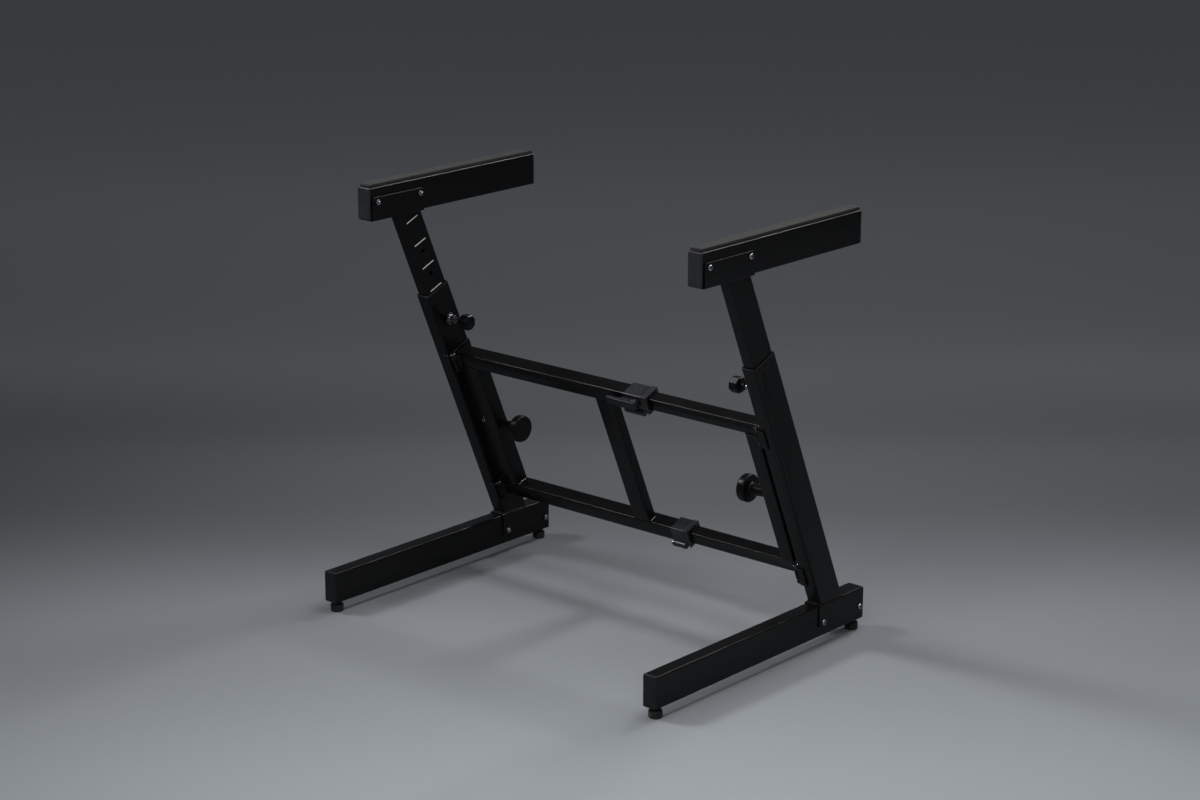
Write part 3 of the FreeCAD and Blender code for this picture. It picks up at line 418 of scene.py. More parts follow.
def solids(node: str) -> bmesh.types.BMesh:
    """Copies a CAD node's mesh, its double points merged.

    Args:
        node: Name of the CAD node.

    Returns:
        The copy, which the caller frees.
    """
    shape = bmesh.new()
    shape.from_mesh(frame["nodes"][node].data)
    bmesh.ops.remove_doubles(shape, verts=shape.verts, dist=MERGE_DISTANCE)
    return shape


def eased(node: str, width_mm: float) -> bpy.types.Object:
    """Makes a copy of a CAD node with its sharp edges eased, as coating or moulding leaves them.

    Args:
        node: Name of the CAD node.
        width_mm: How far each outer edge is eased.

    Returns:
        The piece, which stands for the node.
    """
    finish = finish_of(node)
    shape = solids(node)
    bmesh.ops.dissolve_limit(shape, angle_limit=math.radians(FLAT_DEG), verts=shape.verts,
                             edges=shape.edges)
    weight = shape.edges.layers.float.new("bevel_weight_edge")
    for edge in shape.edges:
        if edge.is_manifold and edge.calc_face_angle_signed() > math.radians(EASED_CREASE_DEG):
            edge[weight] = 1.0
    mesh = bpy.data.meshes.new(node + "_eased")
    shape.to_mesh(mesh)
    shape.free()
    shade(mesh, EASED_CREASE_DEG)
    piece = new_piece(node + "_eased", mesh, finish)
    bevel = piece.modifiers.new("eased_edges", "BEVEL")
    bevel.width = width_mm * MM
    bevel.segments = EASED_STEPS
    bevel.limit_method = "WEIGHT"
    bevel.use_clamp_overlap = False
    bevel.harden_normals = True
    piece.data = baked(piece)
    return settle(piece, body_of(node), finish, node)


def round_ring(along: float, radius: float) -> Ring:
    """Gives a circle of points across the X axis."""
    turns = [2 * math.pi * i / RING_POINTS for i in range(RING_POINTS)]
    return [Vector((along, radius * math.cos(t), radius * math.sin(t))) for t in turns]


def profile(points_mm: Profile, start: float = 0.0) -> list[Ring]:
    """Gives circles from distances past a start and radii, both in millimetres."""
    return [round_ring(start + along * MM, radius * MM) for along, radius in points_mm]


def sided_ring(along: float, flats: float, sides: int) -> Ring:
    """Gives a regular polygon of points across the X axis.

    Args:
        along: Place on the axis.
        flats: Width across flats.
        sides: Number of sides, a divisor of a ring's number of points.

    Returns:
        As many points as a circle has.
    """
    sector = 2 * math.pi / sides
    ring = []
    for i in range(RING_POINTS):
        turn = 2 * math.pi * i / RING_POINTS
        radius = flats / 2 / math.cos(turn % sector - sector / 2)
        ring.append(Vector((along, radius * math.cos(turn), radius * math.sin(turn))))
    return ring


def skinned(name: str, rings: Sequence[Ring], move: Matrix,
            crease_deg: float = TURNED_CREASE_DEG) -> bpy.types.Mesh:
    """Skins rings of equal count into a closed mesh.

    Args:
        name: Name of the mesh.
        rings: Rings in order, from one end to the other.
        move: Move from the rings' axes to the stand's.
        crease_deg: Edges sharper than this stay crisp.

    Returns:
        The mesh, with its normals outwards.
    """
    shape = bmesh.new()
    loops = [[shape.verts.new(move @ point) for point in ring] for ring in rings]
    for near, far in zip(loops, loops[1:]):
        for i, vertex in enumerate(near):
            after = (i + 1) % len(near)
            shape.faces.new((vertex, near[after], far[after], far[i]))
    shape.faces.new(list(reversed(loops[0])))
    shape.faces.new(loops[-1])
    bmesh.ops.recalc_face_normals(shape, faces=shape.faces)
    mesh = bpy.data.meshes.new(name)
    shape.to_mesh(mesh)
    shape.free()
    shade(mesh, crease_deg)
    return mesh


def joined(name: str, meshes: Iterable[bpy.types.Mesh]) -> bpy.types.Mesh:
    """Puts several meshes into one, with their shading kept.

    Args:
        name: Name of the objects that hold them meanwhile.
        meshes: Meshes, the first of which takes in the others.

    Returns:
        The first mesh.
    """
    holders = []
    for mesh in meshes:
        holder = bpy.data.objects.new(name, mesh)
        bpy.context.collection.objects.link(holder)
        holders.append(holder)
    with bpy.context.temp_override(active_object=holders[0], selected_editable_objects=holders):
        bpy.ops.object.join()
    mesh = holders[0].data
    bpy.data.objects.remove(holders[0])
    return mesh


# Geometry node trees

# A weld's ripples, how far they and the noise swell the bead, and the sides of its section
RIPPLE_MM, RIPPLE_STEPS = 2.4, 5.0
BEAD_MEAN, BEAD_SWELL, BEAD_UNEVEN, UNEVEN_SCALE = 0.92, 0.13, 0.3, 160.0
BEAD_SIDES = 10
# A thread's depth as a share of its pitch, and the sides of its core and of its ridge
THREAD_DEPTH, CORE_SIDES, RIDGE_SIDES = 0.55, 28, 4


class NodeShape:
    """A geometry node tree with named inputs, whose result is baked to a plain mesh."""

    def __init__(self, name: str, inputs: dict[str, str]) -> None:
        """Makes the tree and its inputs, a geometry and a material among them.

        Args:
            name: Name of the tree.
            inputs: Socket types by the label of each other input.
        """
        self.tree = bpy.data.node_groups.new(name, "GeometryNodeTree")
        sockets = {"Geometry": "NodeSocketGeometry", **inputs, "Finish": "NodeSocketMaterial"}
        self.keys = {}
        for label, kind in sockets.items():
            socket = self.tree.interface.new_socket(label, in_out="INPUT", socket_type=kind)
            self.keys[label] = socket.identifier
        self.tree.interface.new_socket("Geometry", in_out="OUTPUT",
                                       socket_type="NodeSocketGeometry")
        self.given = add_node(self.tree, "NodeGroupInput").outputs

    def node(self, kind: str, settings: Optional[dict] = None,
             links: Optional[dict] = None) -> bpy.types.Node:
        """Adds a node to this tree."""
        return add_node(self.tree, kind, settings, links)

    def math(self, operation: str, *terms: object) -> bpy.types.NodeSocket:
        """Adds a sum of sockets and plain numbers.

        Args:
            operation: Blender's name of the sum.
            terms: The sockets and numbers, in order.

        Returns:
            Its result.
        """
        sockets = {i: t for i, t in enumerate(terms) if isinstance(t, bpy.types.NodeSocket)}
        numbers = {i: t for i, t in enumerate(terms) if i not in sockets}
        return self.node("ShaderNodeMath", {"operation": operation, **numbers}, sockets).outputs[0]

    def close(self, geometry: bpy.types.NodeSocket) -> None:
        """Ends the tree in real geometry with its material.

        Args:
            geometry: What the tree made.
        """
        real = self.node("GeometryNodeRealizeInstances", links={0: geometry})
        smooth = self.node("GeometryNodeSetShadeSmooth", links={0: real.outputs[0]})
        coated = self.node("GeometryNodeSetMaterial",
                           links={"Geometry": smooth.outputs[0], "Material": self.given["Finish"]})
        self.node("NodeGroupOutput", links={0: coated.outputs[0]})

    def grow(self, name: str, carrier: bpy.types.ID, finish: Finish,
             values: dict) -> bpy.types.Mesh:
        """Runs the tree on a carrier and bakes the result.

        Args:
            name: Name of the mesh.
            carrier: Mesh or curve data that the tree starts from.
            finish: Material of the result.
            values: Values by input name.

        Returns:
            The plain mesh.
        """
        holder = bpy.data.objects.new(name, carrier)
        bpy.context.collection.objects.link(holder)
        modifier = holder.modifiers.new(name, "NODES")
        modifier.node_group = self.tree
        for label, value in {**values, "Finish": finish.material()}.items():
            modifier[self.keys[label]] = value
        mesh = baked(holder)
        bpy.data.objects.remove(holder)
        mesh.name = name
        return mesh


def fastener_shape() -> NodeShape:
    """Makes the tree that sets one fastener at each point, along the point's facing.

    Returns:
        The tree.
    """
    shape = NodeShape("fasteners_at_points", {"Fastener": "NodeSocketObject"})
    facing = shape.node("GeometryNodeInputNamedAttribute",
                        {"data_type": "FLOAT_VECTOR", "Name": "facing"})
    turn = shape.node("FunctionNodeAlignRotationToVector", {"axis": "X"},
                      {"Vector": facing.outputs[0]})
    fastener = shape.node("GeometryNodeObjectInfo", links={"Object": shape.given["Fastener"]})
    placed = shape.node("GeometryNodeInstanceOnPoints", links={
        "Points": shape.given["Geometry"], "Instance": fastener.outputs["Geometry"],
        "Rotation": turn.outputs[0]})
    shape.close(placed.outputs[0])
    return shape


def weld_shape() -> NodeShape:
    """Makes the tree that lays a rippled weld bead along each run.

    Returns:
        The tree.
    """
    shape = NodeShape("weld_beads", {"Bead Radius": "NodeSocketFloat", "Ripple": "NodeSocketFloat",
                                     "Seed": "NodeSocketFloat"})
    given = shape.given
    step = shape.math("DIVIDE", given["Ripple"], RIPPLE_STEPS)
    fine = shape.node("GeometryNodeResampleCurve", {"mode": "LENGTH"},
                      {"Curve": given["Geometry"], "Length": step})
    travelled = shape.node("GeometryNodeSplineParameter").outputs["Length"]
    turns = shape.math("DIVIDE", travelled, given["Ripple"])
    phase = shape.math("MULTIPLY", turns, 2 * math.pi)
    swell = shape.math("MULTIPLY_ADD", shape.math("SINE", phase), BEAD_SWELL, BEAD_MEAN)
    noise = shape.node("ShaderNodeTexNoise",
                       {"noise_dimensions": "4D", "Scale": UNEVEN_SCALE},
                       {"W": given["Seed"]}).outputs[0]
    uneven = shape.math("MULTIPLY_ADD", noise, BEAD_UNEVEN, -BEAD_UNEVEN / 2)
    section = shape.node("GeometryNodeCurvePrimitiveCircle", {"Resolution": BEAD_SIDES},
                         {"Radius": given["Bead Radius"]})
    bead = shape.node("GeometryNodeCurveToMesh", {"Fill Caps": True}, {
        "Curve": fine.outputs[0], "Profile Curve": section.outputs[0],
        "Scale": shape.math("ADD", swell, uneven)})
    shape.close(bead.outputs[0])
    return shape


def thread_shape() -> NodeShape:
    """Makes the tree that winds a screw thread round a core along Z.

    Returns:
        The tree.
    """
    shape = NodeShape("screw_thread", {
        "Length": "NodeSocketFloat", "Pitch": "NodeSocketFloat",
        "Core Radius": "NodeSocketFloat", "Crest Radius": "NodeSocketFloat"})
    given = shape.given
    depth = shape.math("SUBTRACT", given["Crest Radius"], given["Core Radius"])
    winding = shape.node("GeometryNodeCurveSpiral", {"Resolution": CORE_SIDES}, {
        "Rotations": shape.math("DIVIDE", given["Length"], given["Pitch"]),
        "Start Radius": given["Core Radius"], "End Radius": given["Core Radius"],
        "Height": given["Length"]})
    section = shape.node("GeometryNodeCurvePrimitiveCircle", {"Resolution": RIDGE_SIDES},
                         {"Radius": depth})
    ridge = shape.node("GeometryNodeCurveToMesh", {"Fill Caps": True}, {
        "Curve": winding.outputs[0], "Profile Curve": section.outputs[0]})
    core = shape.node("GeometryNodeMeshCylinder", {"Vertices": CORE_SIDES}, {
        "Radius": given["Core Radius"], "Depth": given["Length"]})
    lift = shape.node("ShaderNodeCombineXYZ",
                      links={"Z": shape.math("MULTIPLY", given["Length"], 0.5)})
    raised = shape.node("GeometryNodeTransform", links={
        "Geometry": core.outputs[0], "Translation": lift.outputs[0]})
    both = shape.node("GeometryNodeJoinGeometry", links={0: raised.outputs[0]})
    shape.tree.links.new(ridge.outputs[0], both.inputs[0])
    shape.close(both.outputs[0])
    return shape


def mark_shape() -> NodeShape:
    """Makes the tree that prints a row of equal marks along Z.

    Returns:
        The tree.
    """
    shape = NodeShape("printed_marks", {
        "Count": "NodeSocketInt", "Pitch": "NodeSocketFloat", "Mark Size": "NodeSocketVector"})
    pitch = shape.node("ShaderNodeCombineXYZ", links={"Z": shape.given["Pitch"]})
    row = shape.node("GeometryNodeMeshLine", links={
        "Count": shape.given["Count"], "Offset": pitch.outputs[0]})
    mark = shape.node("GeometryNodeMeshCube", links={"Size": shape.given["Mark Size"]})
    placed = shape.node("GeometryNodeInstanceOnPoints", links={
        "Points": row.outputs[0], "Instance": mark.outputs[0]})
    shape.close(placed.outputs[0])
    return shape


FASTENERS = fastener_shape()
WELDS = weld_shape()
THREADS = thread_shape()
MARKS = mark_shape()


def lay_welds(name: str, body: str, runs: Sequence[Run], radius_mm: float, seed: float,
              finish: Finish = POWDER_COAT) -> None:
    """Lays coated weld beads along runs and lets them ride on a body.

    Args:
        name: Name of the piece.
        body: Body that carries it.
        runs: Points of each run, in the stand's coordinates.
        radius_mm: Radius of the bead.
        seed: Which unevenness the beads get.
        finish: Coat over the beads.
    """
    curve = bpy.data.curves.new(name, "CURVE")
    curve.dimensions = "3D"
    for run in runs:
        spline = curve.splines.new("POLY")
        spline.points.add(len(run) - 1)
        for point, place in zip(spline.points, run):
            point.co = (*place, 1.0)
    mesh = WELDS.grow(name, curve, finish, {
        "Bead Radius": radius_mm * MM, "Ripple": RIPPLE_MM * MM, "Seed": seed})
    settle(new_piece(name, mesh, finish), body, finish)


def threaded(name: str, length: float, radius: float, pitch_mm: float,
             move: Matrix) -> bpy.types.Mesh:
    """Winds a zinc-plated thread.

    Args:
        name: Name of the mesh.
        length: Its length.
        radius: Radius over its crests.
        pitch_mm: Distance between its crests.
        move: Move from Z and the origin to the stand's coordinates.

    Returns:
        The mesh.
    """
    mesh = THREADS.grow(name, bpy.data.meshes.new(name), ZINC, {
        "Length": length, "Pitch": pitch_mm * MM,
        "Core Radius": radius - THREAD_DEPTH * pitch_mm * MM, "Crest Radius": radius})
    mesh.transform(move)
    shade(mesh, CRISP_CREASE_DEG)
    return mesh


def islands(node: str) -> list[tuple[Vector, Vector]]:
    """Gives the lowest and highest corner of each solid of a CAD node.

    Args:
        node: Name of the CAD node.

    Returns:
        Two corners for each solid.
    """
    mesh, shape = bpy.data.meshes.new(node + "_merged"), solids(node)
    shape.to_mesh(mesh)
    shape.free()
    mesh.calc_loop_triangles()
    boxes = []
    for group in mesh_linked_triangles(mesh):
        places = [mesh.vertices[i].co for triangle in group for i in triangle.vertices]
        boxes.append((Vector([min(axis) for axis in zip(*places)]),
                      Vector([max(axis) for axis in zip(*places)])))
    bpy.data.meshes.remove(mesh)
    return boxes


# Sub-assemblies

def leg_end(node: str, side: Side) -> tuple[Vector, Vector]:
    """Finds the end of a node that is towards its leg.

    Args:
        node: Name of the CAD node.
        side: The leg.

    Returns:
        The end's middle and the node's size, both leaning.
    """
    low, high = LEAN.extent(node)
    near = low.x if side is Side.LEFT else high.x
    return Vector((near, (low.y + high.y) / 2, (low.z + high.z) / 2)), high - low


@dataclass
class BracketBolts:
    """Button-head bolts through a bracket, each with its nut."""

    node: str
    count: int = 2
    sides: int = 6
    head_radius_mm: float = 5.5
    head_height_mm: float = 4.0
    # the head's flat, of its radius, its upright rim, of its height, and the steps between them
    head_flat: float = 0.58
    head_rim: float = 0.12
    head_steps: int = 7
    socket_mm: float = 4.0
    socket_depth_mm: float = 2.2
    shank_mm: float = 3.0
    point_mm: float = 0.6
    nut_flats_mm: float = 10.0
    nut_foot_mm: float = 0.5
    nut_chamfer_mm: float = 0.9
    nut_crown_mm: float = 0.7
    # the nut's face, of its flats, and its crown's foot and top, of its half width over corners
    nut_face: float = 0.47
    nut_crown: tuple[float, float] = (0.62, 0.56)
    bare_end_mm: float = 2.0

    def build(self) -> None:
        """Sets one bolt at each CAD bolt and stands for the node."""
        boxes = sorted(islands(self.node), key=lambda box: box[0].x - box[1].x)
        bolts, nuts = boxes[:self.count], boxes[self.count:]
        facing = math.copysign(1.0, nuts[0][0].x - bolts[0][0].x - (bolts[0][1].x - nuts[0][1].x))
        near, far = (0, 1) if facing > 0 else (1, 0)
        head, end, seat = bolts[0][near].x, bolts[0][far].x, nuts[0][near].x
        tall = self.head_height_mm * MM
        grip, tail = abs(seat - head) - tall, abs(end - seat)
        points = bpy.data.meshes.new(self.node + "_places")
        points.from_pydata([(head + facing * tall, (low.y + high.y) / 2, (low.z + high.z) / 2)
                            for low, high in bolts], [], [])
        directions = points.attributes.new("facing", "FLOAT_VECTOR", "POINT")
        for item in directions.data:
            item.vector = (facing, 0.0, 0.0)
        template = new_piece(self.node + "_template", self.bolt(grip, tail), ZINC)
        mesh = FASTENERS.grow(self.node + "_bolts", points, ZINC, {"Fastener": template})
        bpy.data.objects.remove(template)
        shade(mesh, TURNED_CREASE_DEG)
        stand_in(self.node + "_bolts", mesh, ZINC, self.node)

    def bolt(self, grip: float, tail: float) -> bpy.types.Mesh:
        """Turns one bolt along X, its head's seat at the origin.

        Args:
            grip: From the head's seat to the nut's.
            tail: From the nut's seat to the bolt's end.

        Returns:
            The mesh of bolt and nut.
        """
        head, tall = self.head_radius_mm * MM, self.head_height_mm * MM
        flat, rim = self.head_flat * head, self.head_rim * tall
        rings = [sided_ring(-tall + self.socket_depth_mm * MM, self.socket_mm * MM, self.sides),
                 sided_ring(-tall, self.socket_mm * MM, self.sides)]
        for i in range(self.head_steps + 1):
            turn = math.pi / 2 * i / self.head_steps
            rings.append(round_ring(-rim - (tall - rim) * math.cos(turn),
                                    flat + (head - flat) * math.sin(turn)))
        shank, point = self.shank_mm * MM, self.point_mm * MM
        rings += [round_ring(0.0, head), round_ring(0.0, shank),
                  round_ring(grip + tail - point, shank), round_ring(grip + tail, shank - point)]
        flats = self.nut_flats_mm * MM
        wide = flats / 2 / math.cos(math.pi / self.sides)
        top = grip + tail - self.bare_end_mm * MM
        foot, crown = (share * wide for share in self.nut_crown)
        nut = [round_ring(grip, flats / 2),
               sided_ring(grip + self.nut_foot_mm * MM, flats, self.sides),
               sided_ring(top - self.nut_chamfer_mm * MM, flats, self.sides),
               round_ring(top, self.nut_face * flats), round_ring(top, foot),
               round_ring(top + self.nut_crown_mm * MM, crown)]
        still = Matrix.Identity(4)
        return joined(self.node + "_bolt",
                      [skinned("bolt", rings, still), skinned("nut", nut, still)])


@dataclass
class SoftStrip:
    """Foam rubber strip glued along an arm's top."""

    node: str
    corner_mm: float = 1.3
    corner_steps: int = 5
    crown_mm: float = 0.35
    crown_shares: tuple[float, ...] = (0.7, 0.45, 0.2)
    # the glued edge's tuck and its height, and the side's hollow and its height as a share
    tuck_mm: float = 0.3
    tuck_height_mm: float = 0.5
    hollow_mm: float = 0.15
    hollow_height: float = 0.4
    # uneven height along the strip, in radians per metre and radians
    sag_mm: float = 0.12
    sag_waves: tuple[tuple[float, float], ...] = ((41.0, 0.0), (97.0, 1.3))
    # the last stretch at each end, where the strip narrows and drops to these shares
    end_mm: float = 5.0
    end_width: float = 0.93
    end_height: float = 0.72
    stations: int = 90
    crease_deg: float = 60.0

    def build(self) -> None:
        """Lofts the crowned strip and stands for the CAD strip."""
        low, high = (Vector(corner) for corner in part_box(self.node))
        length = high.y - low.y
        rings = []
        for i in range(self.stations + 1):
            share = 0.5 - 0.5 * math.cos(math.pi * i / self.stations)
            rings.append(self.ring(low, high, share * length))
        mesh = skinned(self.node + "_foam", rings, Matrix.Identity(4), self.crease_deg)
        piece = stand_in(self.node + "_foam", mesh, STRIP_FOAM, self.node)

    def ring(self, low: Vector, high: Vector, along: float) -> Ring:
        """Gives the strip's outline at one place along it.

        Args:
            low: Lowest corner of the CAD strip.
            high: Highest corner of the CAD strip.
            along: Distance from its front end.

        Returns:
            The outline's points, upright across the arm.
        """
        length = high.y - low.y
        near_end = min(along, length - along) / (self.end_mm * MM)
        full = math.sqrt(1 - (1 - min(near_end, 1.0)) ** 2)
        half = (high.x - low.x) / 2 * (self.end_width + (1 - self.end_width) * full)
        wave = sum(math.sin(along * rate + shift) for rate, shift in self.sag_waves)
        sag = self.sag_mm * MM * (1 + wave / len(self.sag_waves)) / 2
        tall = (high.z - low.z - sag) * (self.end_height + (1 - self.end_height) * full)
        corner, crown = self.corner_mm * MM, self.crown_mm * MM
        middle = (low.x + high.x) / 2
        right = [(half - self.tuck_mm * MM, 0.0), (half, self.tuck_height_mm * MM),
                 (half - self.hollow_mm * MM, tall * self.hollow_height)]
        for i in range(self.corner_steps + 1):
            turn = math.pi / 2 * i / self.corner_steps
            right.append((half - corner + corner * math.cos(turn),
                          tall - crown - corner + corner * math.sin(turn)))
        for share in self.crown_shares:
            right.append((half * share, tall - crown * share ** 2))
        outline = right + [(-x, z) for x, z in reversed(right)]
        return [Vector((middle + x, low.y + along, low.z + z)) for x, z in outline]


@dataclass
class ClampKnob:
    """Disc knob on its threaded stud, which presses on the leg."""

    side: Side
    disc_mm: float = 18.0
    rim_mm: float = 4.0
    rim_steps: int = 7
    thread_pitch_mm: float = 1.5
    crease_deg: float = 28.0
    # distance and radius: of the neck's end, of the flare before the disc, of its back and its face
    neck_mm: Profile = ((0.6, 5.2), (0.0, 5.9), (0.0, 7.9), (0.6, 8.5))
    flare_mm: tuple[float, float] = (-3.0, 11.5)
    flare_steps: int = 8
    back_mm: Profile = ((-0.9, 12.6), (0.0, 15.0), (0.3, 18.0))
    face_mm: Profile = ((-0.1, 20.0), (0.0, 12.0), (0.0, 1.0))

    def build(self) -> None:
        """Turns the knob and the stud."""
        knob, stud = f"{self.side.value}_clamp_knob", f"{self.side.value}_clamp_stud"
        origin, size = leg_end(knob, self.side)
        move = LEAN.matrix(origin, self.side.inward)
        mesh = skinned(knob + "_turned", self.rings(size.x, size.y / 2), move, self.crease_deg)
        stand_in(knob + "_turned", mesh, KNOB_PLASTIC, knob)
        tip, size = leg_end(stud, self.side)
        turn = Matrix.Rotation(math.radians(90), 4, "Y")
        move = LEAN.matrix(Vector((tip.x, origin.y, origin.z)), self.side.inward) @ turn
        thread = threaded(stud + "_thread", size.x, size.y / 2, self.thread_pitch_mm, move)
        stand_in(stud + "_thread", thread, ZINC, stud)

    def rings(self, length: float, radius: float) -> list[Ring]:
        """Gives the knob's outline from its neck to its nearly flat face.

        Args:
            length: Length of the CAD knob.
            radius: Its radius.

        Returns:
            Rings along X.
        """
        disc, rim = length - self.disc_mm * MM, self.rim_mm * MM
        rings = profile(self.neck_mm)
        (start, narrow), (gap, wide) = self.neck_mm[-1], self.flare_mm
        for i in range(1, self.flare_steps + 1):
            share = i / self.flare_steps
            rings.append(round_ring((disc + gap * MM) * share + start * MM * (1 - share),
                                    (narrow + (wide - narrow) * share) * MM))
        rings += profile(self.back_mm, disc)
        back = disc + self.back_mm[-1][0] * MM
        for centre, quarter in ((back + rim, -1.0), (length - rim, 0.0)):
            for i in range(self.rim_steps):
                turn = math.pi / 2 * (quarter + i / (self.rim_steps - 1))
                rings.append(round_ring(centre + rim * math.sin(turn),
                                        radius - rim + rim * math.cos(turn)))
        return rings + profile(self.face_mm, length)


@dataclass
class Plunger:
    """Spring plunger: nickel body on the post, its spring, and an eight-sided knob on its pin."""

    side: Side
    body_edge_mm: float = 0.5
    wire_edge_mm: float = 0.05
    sides: int = 8
    crease_deg: float = 24.0
    # distance and radius: of the neck, and of the dished face past the knob's end
    neck_mm: Profile = ((0.5, 4.1), (0.0, 4.8), (0.0, 6.4), (0.6, 7.0), (7.2, 7.0), (8.0, 7.9))
    face_mm: Profile = ((0.0, 7.4), (-0.7, 6.6), (-0.6, 1.0))
    # chamfers past the neck and before the end: distance, and how much smaller across flats
    back_cut_mm: Profile = ((0.05, 4.8), (0.3, 4.0), (1.7, 0.7), (2.3, 0.0))
    front_cut_mm: Profile = ((-2.3, 0.0), (-1.7, 0.7), (-0.3, 4.0), (0.0, 4.8))

    def build(self) -> None:
        """Eases the body, sets the spring and turns the knob."""
        eased(f"{self.side.value}_plunger_body", self.body_edge_mm)
        self.spring()
        knob = f"{self.side.value}_plunger_knob"
        origin, size = leg_end(knob, self.side)
        rings = profile(self.neck_mm)
        for start, cuts_mm in ((self.neck_mm[-1][0] * MM, self.back_cut_mm),
                               (size.x, self.front_cut_mm)):
            rings += [sided_ring(start + along * MM, size.z - less * MM, self.sides)
                      for along, less in cuts_mm]
        rings += profile(self.face_mm, size.x)
        move = LEAN.matrix(origin, self.side.inward)
        mesh = skinned(knob + "_turned", rings, move, self.crease_deg)
        stand_in(knob + "_turned", mesh, KNOB_PLASTIC, knob)

    def spring(self) -> None:
        """Eases the spring and gives it a mesh of its own."""
        node, joint = f"{self.side.value}_plunger_spring", f"{self.side.value}_plunger_pull"
        piece = eased(node, self.wire_edge_mm)
        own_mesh(piece)


@dataclass
class LevellingFoot:
    """Ribbed rubber foot moulded on a threaded stem."""

    node: str
    pad_height_mm: float = 14.0
    rib_depth_mm: float = 0.8
    ribs: int = 4
    rib_steps: int = 10
    rib_fullness: float = 0.6
    # where the ribs start and end, of the pad's height
    ribbed: tuple[float, float] = (0.07, 0.9)
    # the recess under the pad: depth, and the shares of the radius at its floor and its mouth
    recess_mm: float = 0.4
    recess_shares: tuple[float, float] = (0.55, 0.62)
    # millimetres past the sole and past the pad's top, and how many rib depths inside the radius
    sole: Profile = ((0.0, 1.0), (0.5, 0.5))
    shoulder: Profile = ((-0.5, 1.4), (0.0, 2.6))
    neck_radius_mm: float = 7.0
    neck_top_mm: float = 19.5
    # distance past the pad's top and past the neck's top, and how much wider than the neck
    neck_foot_mm: Profile = ((0.0, 1.0), (0.9, 0.0))
    neck_end_mm: Profile = ((-0.4, 0.0), (0.0, -0.4))
    stem_radius_mm: float = 4.0
    stem_sunk_mm: float = 1.0
    thread_pitch_mm: float = 1.25
    crease_deg: float = 40.0

    def build(self) -> None:
        """Turns the rubber and winds the stem's thread."""
        low, high = (Vector(corner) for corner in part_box(self.node))
        x, y = (low.x + high.x) / 2, (low.y + high.y) / 2
        upright = Matrix.Translation((x, y, low.z)) @ Matrix.Rotation(math.radians(-90), 4, "Y")
        rings = self.rings((high.x - low.x) / 2)
        mesh = skinned(self.node + "_rubber", rings, upright, self.crease_deg)
        stand_in(self.node + "_rubber", mesh, FOOT_RUBBER, self.node)
        start = (self.neck_top_mm - self.stem_sunk_mm) * MM
        stem = threaded(self.node + "_stem", high.z - low.z - start, self.stem_radius_mm * MM,
                        self.thread_pitch_mm, Matrix.Translation((x, y, low.z + start)))
        settle(new_piece(self.node + "_stem", stem, ZINC), body_of(self.node), ZINC)

    def rings(self, radius: float) -> list[Ring]:
        """Gives the rubber's outline from its sole to its neck.

        Args:
            radius: Radius of the CAD foot.

        Returns:
            Rings along X, still to be stood upright.
        """
        tall, rib = self.pad_height_mm * MM, self.rib_depth_mm * MM
        floor, mouth = (share * radius for share in self.recess_shares)
        rings = [round_ring(self.recess_mm * MM, floor), round_ring(0.0, mouth)]
        rings += [round_ring(up * MM, radius - inside * rib) for up, inside in self.sole]
        steps = self.rib_steps * self.ribs
        first, last = self.ribbed
        for i in range(steps + 1):
            share = i / steps
            wave = abs(math.sin(math.pi * self.ribs * share)) ** self.rib_fullness
            rings.append(round_ring(tall * (first + (last - first) * share),
                                    radius - rib + rib * wave))
        rings += [round_ring(tall + up * MM, radius - inside * rib) for up, inside in self.shoulder]
        neck = self.neck_radius_mm * MM
        for top, steps_mm in ((tall, self.neck_foot_mm), (self.neck_top_mm * MM, self.neck_end_mm)):
            rings += [round_ring(top + up * MM, neck + wider * MM) for up, wider in steps_mm]
        return rings


